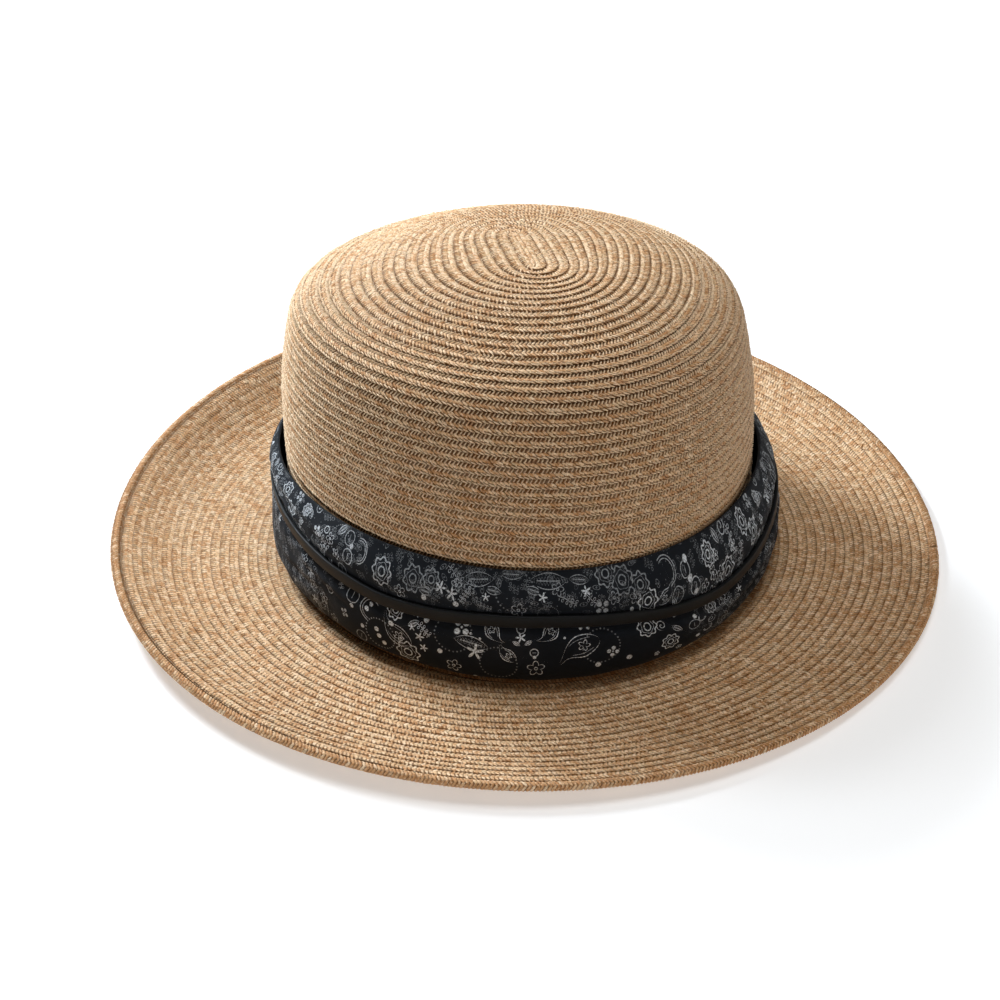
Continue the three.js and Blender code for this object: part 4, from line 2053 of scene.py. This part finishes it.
@dataclass
class Band:
    """The cotton band: a long cloth gathered round the crown and drawn in by the lace."""

    form: HatForm
    steps: int = 720
    outer_lines: int = 46
    inner_lines: int = 10
    wall: float = 0.9
    waist: float = 93.8
    measured_at: tuple[float, float] = (95.0, 20.0)
    edge_roll: float = 0.3
    gather_depth: float = 0.16
    gather_reach: tuple[float, float] = (5.0, 2.6)
    gathers: tuple[int, int] = (61, 97)
    ripple_depth: float = 0.18
    ripples: int = 23
    bulge: float = 0.35
    bulge_off: float = 2.0
    lace_clear: tuple[float, float] = (2.2, 2.5)
    hem: float = 0.18
    hem_place: float = 0.055
    hem_width: float = 0.02
    outside: tuple[tuple[float, float, float], ...] = (
        (91.4, 4.6, 0), (93.5, 5.9, 0.05), (95.1, 8.3, 0.15), (95.9, 12, 0.35), (96, 18.5, 0.7),
        (95.4, 24.2, 1), (93.8, 26.4, 1), (93.8, 31.6, 1), (94.5, 34.6, 0.8), (92.4, 40, 0.4),
        (89.2, 43.9, 0),
    )
    dents: tuple[tuple[float, float, float, float, float], ...] = (
        (-3, 20, -2.7, 27, 30), (-168, 47, -2.2, 24, 9), (-167, 26, 1.8, 20, 15),
        (-146, 20, 0.8, 7, 10), (-132, 12, 0.9, 6, 8), (96, 18, 1.2, 10, 12), (141, 18, 1, 8, 10),
    )
    folds: tuple[Fold, ...] = (
        Fold(-150, 37.5, 16, 1.3, -0.1, 0.9), Fold(-140, 34.5, 12, 1, 0.12, 0.6),
        Fold(-146, 15, 12, 1.4, 0.16, 0.7), Fold(-133, 20, 9, 1.1, -0.22, 0.6),
        Fold(-118, 22.5, 10, 0.9, -0.12, 0.5), Fold(-100, 35, 14, 1.1, 0.05, 0.4),
        Fold(-62, 33.5, 15, 1, -0.06, 0.45), Fold(-38, 30.5, 14, 1.2, -0.14, 0.6),
        Fold(-24, 12, 14, 1.5, 0.18, 0.8), Fold(-12, 36, 12, 1.4, 0.1, 0.8),
        Fold(14, 14, 16, 1.5, -0.12, 0.7), Fold(48, 36, 18, 1.3, 0.08, 0.6),
        Fold(84, 14, 14, 1.5, 0.16, 0.8), Fold(104, 37, 12, 1.2, -0.14, 0.7),
        Fold(128, 16, 15, 1.4, -0.1, 0.7), Fold(160, 36, 14, 1.2, 0.12, 0.7),
    )

    def profile(self, shares: np.ndarray) -> tuple[np.ndarray, np.ndarray, np.ndarray, np.ndarray]:
        """The cloth's section from its lower to its upper edge.

        Args:
            shares: shares of the cloth's width.

        Returns:
            Radius, height, how far each place follows the lace, and the width so far.
        """
        known = np.array(self.outside)
        at = distances(known[:, :2])
        along = shares * at[-1]
        radius, height, follow = (smooth_through(at, known[:, k], along) for k in range(3))
        return radius, height, follow, along

    def relief(self, angle: np.ndarray, height: np.ndarray, level: np.ndarray) -> np.ndarray:
        """How far creases and gathers move the cloth inwards.

        Args:
            angle: angles round the hat.
            height: heights on the cloth.
            level: the height of the lace at each angle.

        Returns:
            The depth of the creases.
        """
        depth = np.zeros(np.broadcast(angle, height).shape)
        for fold in self.folds:
            from_fold = angle - math.radians(fold.degrees)
            turn = np.degrees(np.arctan2(np.sin(from_fold), np.cos(from_fold)))
            off = (height - fold.height - fold.lean * turn) / fold.width
            reach = np.exp(-((turn / fold.reach) ** 4))
            crease = np.exp(-(off**2)) - self.bulge * np.exp(-((off - self.bulge_off) ** 2))
            depth = depth + fold.depth * reach * crease
        gap = np.abs(height - level)
        away, fade = self.gather_reach
        near = np.exp(-(((gap - away) / fade) ** 2))
        coarse, fine = self.gathers
        sway = np.sin(coarse * angle + 3 * np.sin(7 * angle))
        sway = sway + 0.6 * np.sin(fine * angle + 1.0 + height / 3)
        broad = np.sin(self.ripples * angle + height / 6 + 2 * np.sin(5 * angle))
        depth = depth + near * self.gather_depth * sway + self.ripple_depth * broad
        clear, ease = self.lace_clear
        return depth * np.clip((gap - clear) / ease, 0.0, 1.0)

    def point(
        self, radius: np.ndarray, height: np.ndarray, angle: np.ndarray, inward: np.ndarray | float
    ) -> np.ndarray:
        """A point of the band, moved inwards by its dents.

        Args:
            radius: half the width of the band there.
            height: how high it lies.
            angle: the angle round the hat.
            inward: how far it stands inside that radius.

        Returns:
            The points, with x, y and z on the last axis.
        """
        out = radius - inward
        for degrees, middle, deep, width, tall in self.dents:
            off = (height - middle) / tall
            out = out - deep * bell(angle, degrees, width) * np.exp(-(off**2))
        return self.form.crown(out, height, angle)

    def around(self) -> np.ndarray:
        """Measures the band round the hat.

        Returns:
            The distance along it at each step, and at its end.
        """
        angle = FULL_TURN * np.arange(self.steps + 1) / self.steps - math.pi
        radius, height = (np.full(self.steps + 1, value) for value in self.measured_at)
        return distances(self.point(radius, height, angle, 0.0))

    @property
    def length(self) -> float:
        """The cloth's length round the crown in millimetres."""
        return float(self.around()[-1])

    @property
    def width(self) -> float:
        """The cloth's width in millimetres."""
        return float(self.profile(np.ones(1))[3][-1])

    def build(self, finish: bpy.types.Material) -> bpy.types.Object:
        """Args:
            finish: the printed cotton.

        Returns:
            The band.
        """
        angle = FULL_TURN * np.arange(self.steps) / self.steps - math.pi
        rise = self.form.lace_rise(angle)[:, None]
        outer, inner = np.linspace(0, 1, self.outer_lines), np.linspace(1, 0, self.inner_lines)
        grids, laid = [], []
        for shares, inward in ((outer, 0.0), (inner, self.wall)):
            radius, height, follow, along = self.profile(shares)
            level = height[None, :] + follow[None, :] * rise
            if inward:
                roll = self.edge_roll * (1 - np.sin(math.pi * shares) ** 0.2)
                level = level + (roll * np.sign(0.5 - shares))[None, :]
                depth = np.full_like(level, inward)
            else:
                edge = np.minimum(shares, 1 - shares)[None, :]
                hem = self.hem * np.exp(-(((edge - self.hem_place) / self.hem_width) ** 2))
                depth = self.relief(angle[:, None], level, self.form.lace_height + rise) + hem
            grids.append(self.point(radius[None, :], level, angle[:, None], depth))
            laid.append(along)
        grid = np.concatenate(grids, axis=1)
        end, back = self.width + self.wall, 2 * self.width + 2 * self.wall
        across = np.concatenate(
            [
                np.stack([laid[0][:-1], laid[0][1:]], axis=1),
                [[self.width, end]],
                back - np.stack([laid[1][:-1], laid[1][1:]], axis=1),
                [[-self.wall, 0.0]],
            ]
        )
        band = closed_hoop("band_cloth", grid, self.around(), across)
        band.data.materials.append(finish)
        finish_piece(band, "band")
        flat = (self.width * MM, self.length * MM)
        LOG.info("band cloth: %.0f by %.0f mm", flat[0] / MM, flat[1] / MM)
        return band


@dataclass
class Lace:
    """The flat leather lace that draws the band in."""

    form: HatForm
    band: Band
    width: float = 4.2
    thickness: float = 1.35
    gap: float = 0.3
    steps: int = 480
    corner: float = 0.42
    swell: float = 0.12
    wander: tuple[tuple[int, float, float], ...] = ((9, 0.12, 0.0), (23, 0.08, 1.0))

    def build(self, finish: bpy.types.Material) -> bpy.types.Object:
        """Builds and dresses the lace.

        Args:
            finish: the leather.

        Returns:
            The lace.
        """
        angle = FULL_TURN * np.arange(self.steps) / self.steps - math.pi
        level = self.form.lace_height + self.form.lace_rise(angle)[:, None]
        half, soft = self.width / 2, self.corner
        turn = np.radians([0, 30, 60, 90])
        out, up = [], []
        for middle, first in ((self.thickness - soft, 0), (soft, 90)):
            swing = np.pi / 2 - turn - math.radians(first)
            out.extend(middle + soft * np.sin(swing))
            up.extend(half - soft + soft * np.cos(swing))
        out, up = np.concatenate([out, out[::-1]]), np.concatenate([up, np.negative(up[::-1])])
        section = np.stack([out, up], axis=1)
        across = distances(np.concatenate([section, section[:1]]))
        across = np.stack([across[:-1], across[1:]], axis=1)
        swell = self.swell * (1 - (up / half) ** 2) * (out > self.thickness / 2)
        wander = sum(deep * np.sin(waves * angle + at) for waves, deep, at in self.wander)
        grid = self.band.point(
            np.full(1, self.band.waist),
            level + up[None, :] + wander[:, None],
            angle[:, None],
            -(self.gap + out + swell)[None, :],
        )
        lengths = distances(np.concatenate([grid[:, 0], grid[:1, 0]]))
        lace = closed_hoop("lace_leather_strip", grid, lengths, across)
        lace.data.materials.append(finish)
        LOG.info("lace: %.0f mm round", lengths[-1])
        return finish_piece(lace, "strap")


# --- Studio ---


@dataclass(frozen=True)
class Softbox:
    """One rectangular studio light: where it stands, its size and its strength."""

    name: str
    place: tuple[float, float, float]
    size: tuple[float, float]
    watts: float
    tint: Colour = (1.0, 1.0, 1.0)

    def build(self, target: Vector) -> bpy.types.Object:
        """Sets up the light.

        Args:
            target: the point that it faces.

        Returns:
            The light.
        """
        data = bpy.data.lights.new(self.name, "AREA")
        data.shape = "RECTANGLE"
        data.size, data.size_y = self.size
        data.energy = self.watts
        data.color = self.tint
        lamp = bpy.data.objects.new(self.name, data)
        lamp.location = self.place
        lamp.rotation_euler = (target - lamp.location).to_track_quat("-Z", "Y").to_euler()
        bpy.context.collection.objects.link(lamp)
        return lamp


@dataclass
class Studio:
    """The pale floor, the soft lights and the camera."""

    floor_reach: float = 30.0
    floor_steps: int = 40
    daylight: Colour = (1.0, 0.86, 0.70)
    daylight_side: tuple[float, float, float] = (-0.45, 0.50, 0.74)
    daylight_from: float = -0.2
    daylight_range: tuple[float, float] = (0.06, 0.10)
    lights: tuple[Softbox, ...] = (
        Softbox("Window", (-0.714, 0.618, 0.768), (0.24, 0.24), 12.6, (0.92, 1.0, 1.08)),
        Softbox("Window side", (-0.775, 0.345, 0.92), (0.24, 0.24), 6.4, (0.92, 1.0, 1.08)),
        Softbox("Top", (0.0, -0.1, 2.0), (1.0, 1.0), 16.5, (0.97, 1.0, 1.03)),
        Softbox("Fill", (1.5, -1.3, 1.2), (1.2, 1.2), 5.5, (1.0, 0.86, 0.72)),
    )
    camera_place: tuple[float, float, float] = (0.06913, -0.69108, 0.40095)
    camera_target: tuple[float, float, float] = (-0.01011, -0.00116, 0.01493)
    lens: float = 74.35
    sensor: float = 36.0

    def build(self, finish: bpy.types.Material) -> None:
        """Builds the floor and sets up the lights, the daylight and the camera.

        Args:
            finish: the floor's material.
        """
        share = np.linspace(-1, 1, self.floor_steps + 1) ** 3
        x, y = np.meshgrid(share, share, indexing="ij")
        level = np.full_like(x, CAD_BOX[0][2] / self.floor_reach)
        points = np.stack([x, y, level], axis=-1).reshape(-1, 3) * self.floor_reach / MM
        floor = new_object("studio_floor", points, quads(len(share), len(share)))
        floor.data.materials.append(finish)
        target = Vector(self.camera_target)
        for light in self.lights:
            light.build(target)
        self._daylight()
        bpy.context.scene.view_settings.view_transform = "Standard"
        data = bpy.data.cameras.new("Camera")
        data.lens = self.lens
        data.sensor_width = self.sensor
        camera = bpy.data.objects.new("Camera", data)
        camera.location = self.camera_place
        away = target - camera.location
        camera.rotation_euler = away.to_track_quat("-Z", "Y").to_euler()
        bpy.context.collection.objects.link(camera)
        bpy.context.scene.camera = camera

    def _daylight(self) -> None:
        """Sets up the soft daylight, brighter from one side of the room."""
        world = bpy.data.worlds.new("Daylight")
        world.use_nodes = True
        nodes = Nodes(world.node_tree)
        towards = nodes.signal(nodes.node("ShaderNodeTexCoord"), "Generated")
        share = nodes.vectors("DOT_PRODUCT", towards, self.daylight_side, output="Value")
        low, high = self.daylight_range
        level = nodes.node(
            "ShaderNodeMapRange",
            Value=share,
            From_Min=self.daylight_from,
            To_Min=low,
            To_Max=high,
        )
        sky = nodes.tree.nodes["Background"]
        nodes.plug(sky.inputs["Color"], self.daylight)
        nodes.plug(sky.inputs["Strength"], nodes.signal(level))
        bpy.context.scene.world = world


def main() -> None:
    """Builds the hat piece by piece and the studio round it, and logs the sizes of its pieces."""
    logging.basicConfig(level=logging.INFO, format="%(name)s: %(message)s")
    form = HatForm()
    woven = WovenFinish().material("Woven straw")
    # Shaded straw and lightly shaded straw: the straw between the laid strands, darkened as
    # painted shade, more on the crown and edge row than on the brim.
    shaded_gaps = WovenFinish(depth=0.76).material("Shaded straw")
    brim_shaded_gaps = WovenFinish(depth=0.55).material("Lightly shaded straw")
    strands = StrandLayer(StrandFinish().material("Straw strands"), seed=7)
    Crown(form).build(shaded_gaps, woven, strands)
    Brim(form).build(brim_shaded_gaps, woven, strands)
    EdgeRow(form).build(shaded_gaps, strands)
    band = Band(form)
    band.build(CottonFinish().material("Printed cotton", band.length, band.width))
    Lace(form, band).build(LeatherFinish().material("Lace leather"))
    Studio().build(FloorFinish().material("Studio floor"))
    LOG.info("sizes noted")


if __name__ == "__main__":
    main()
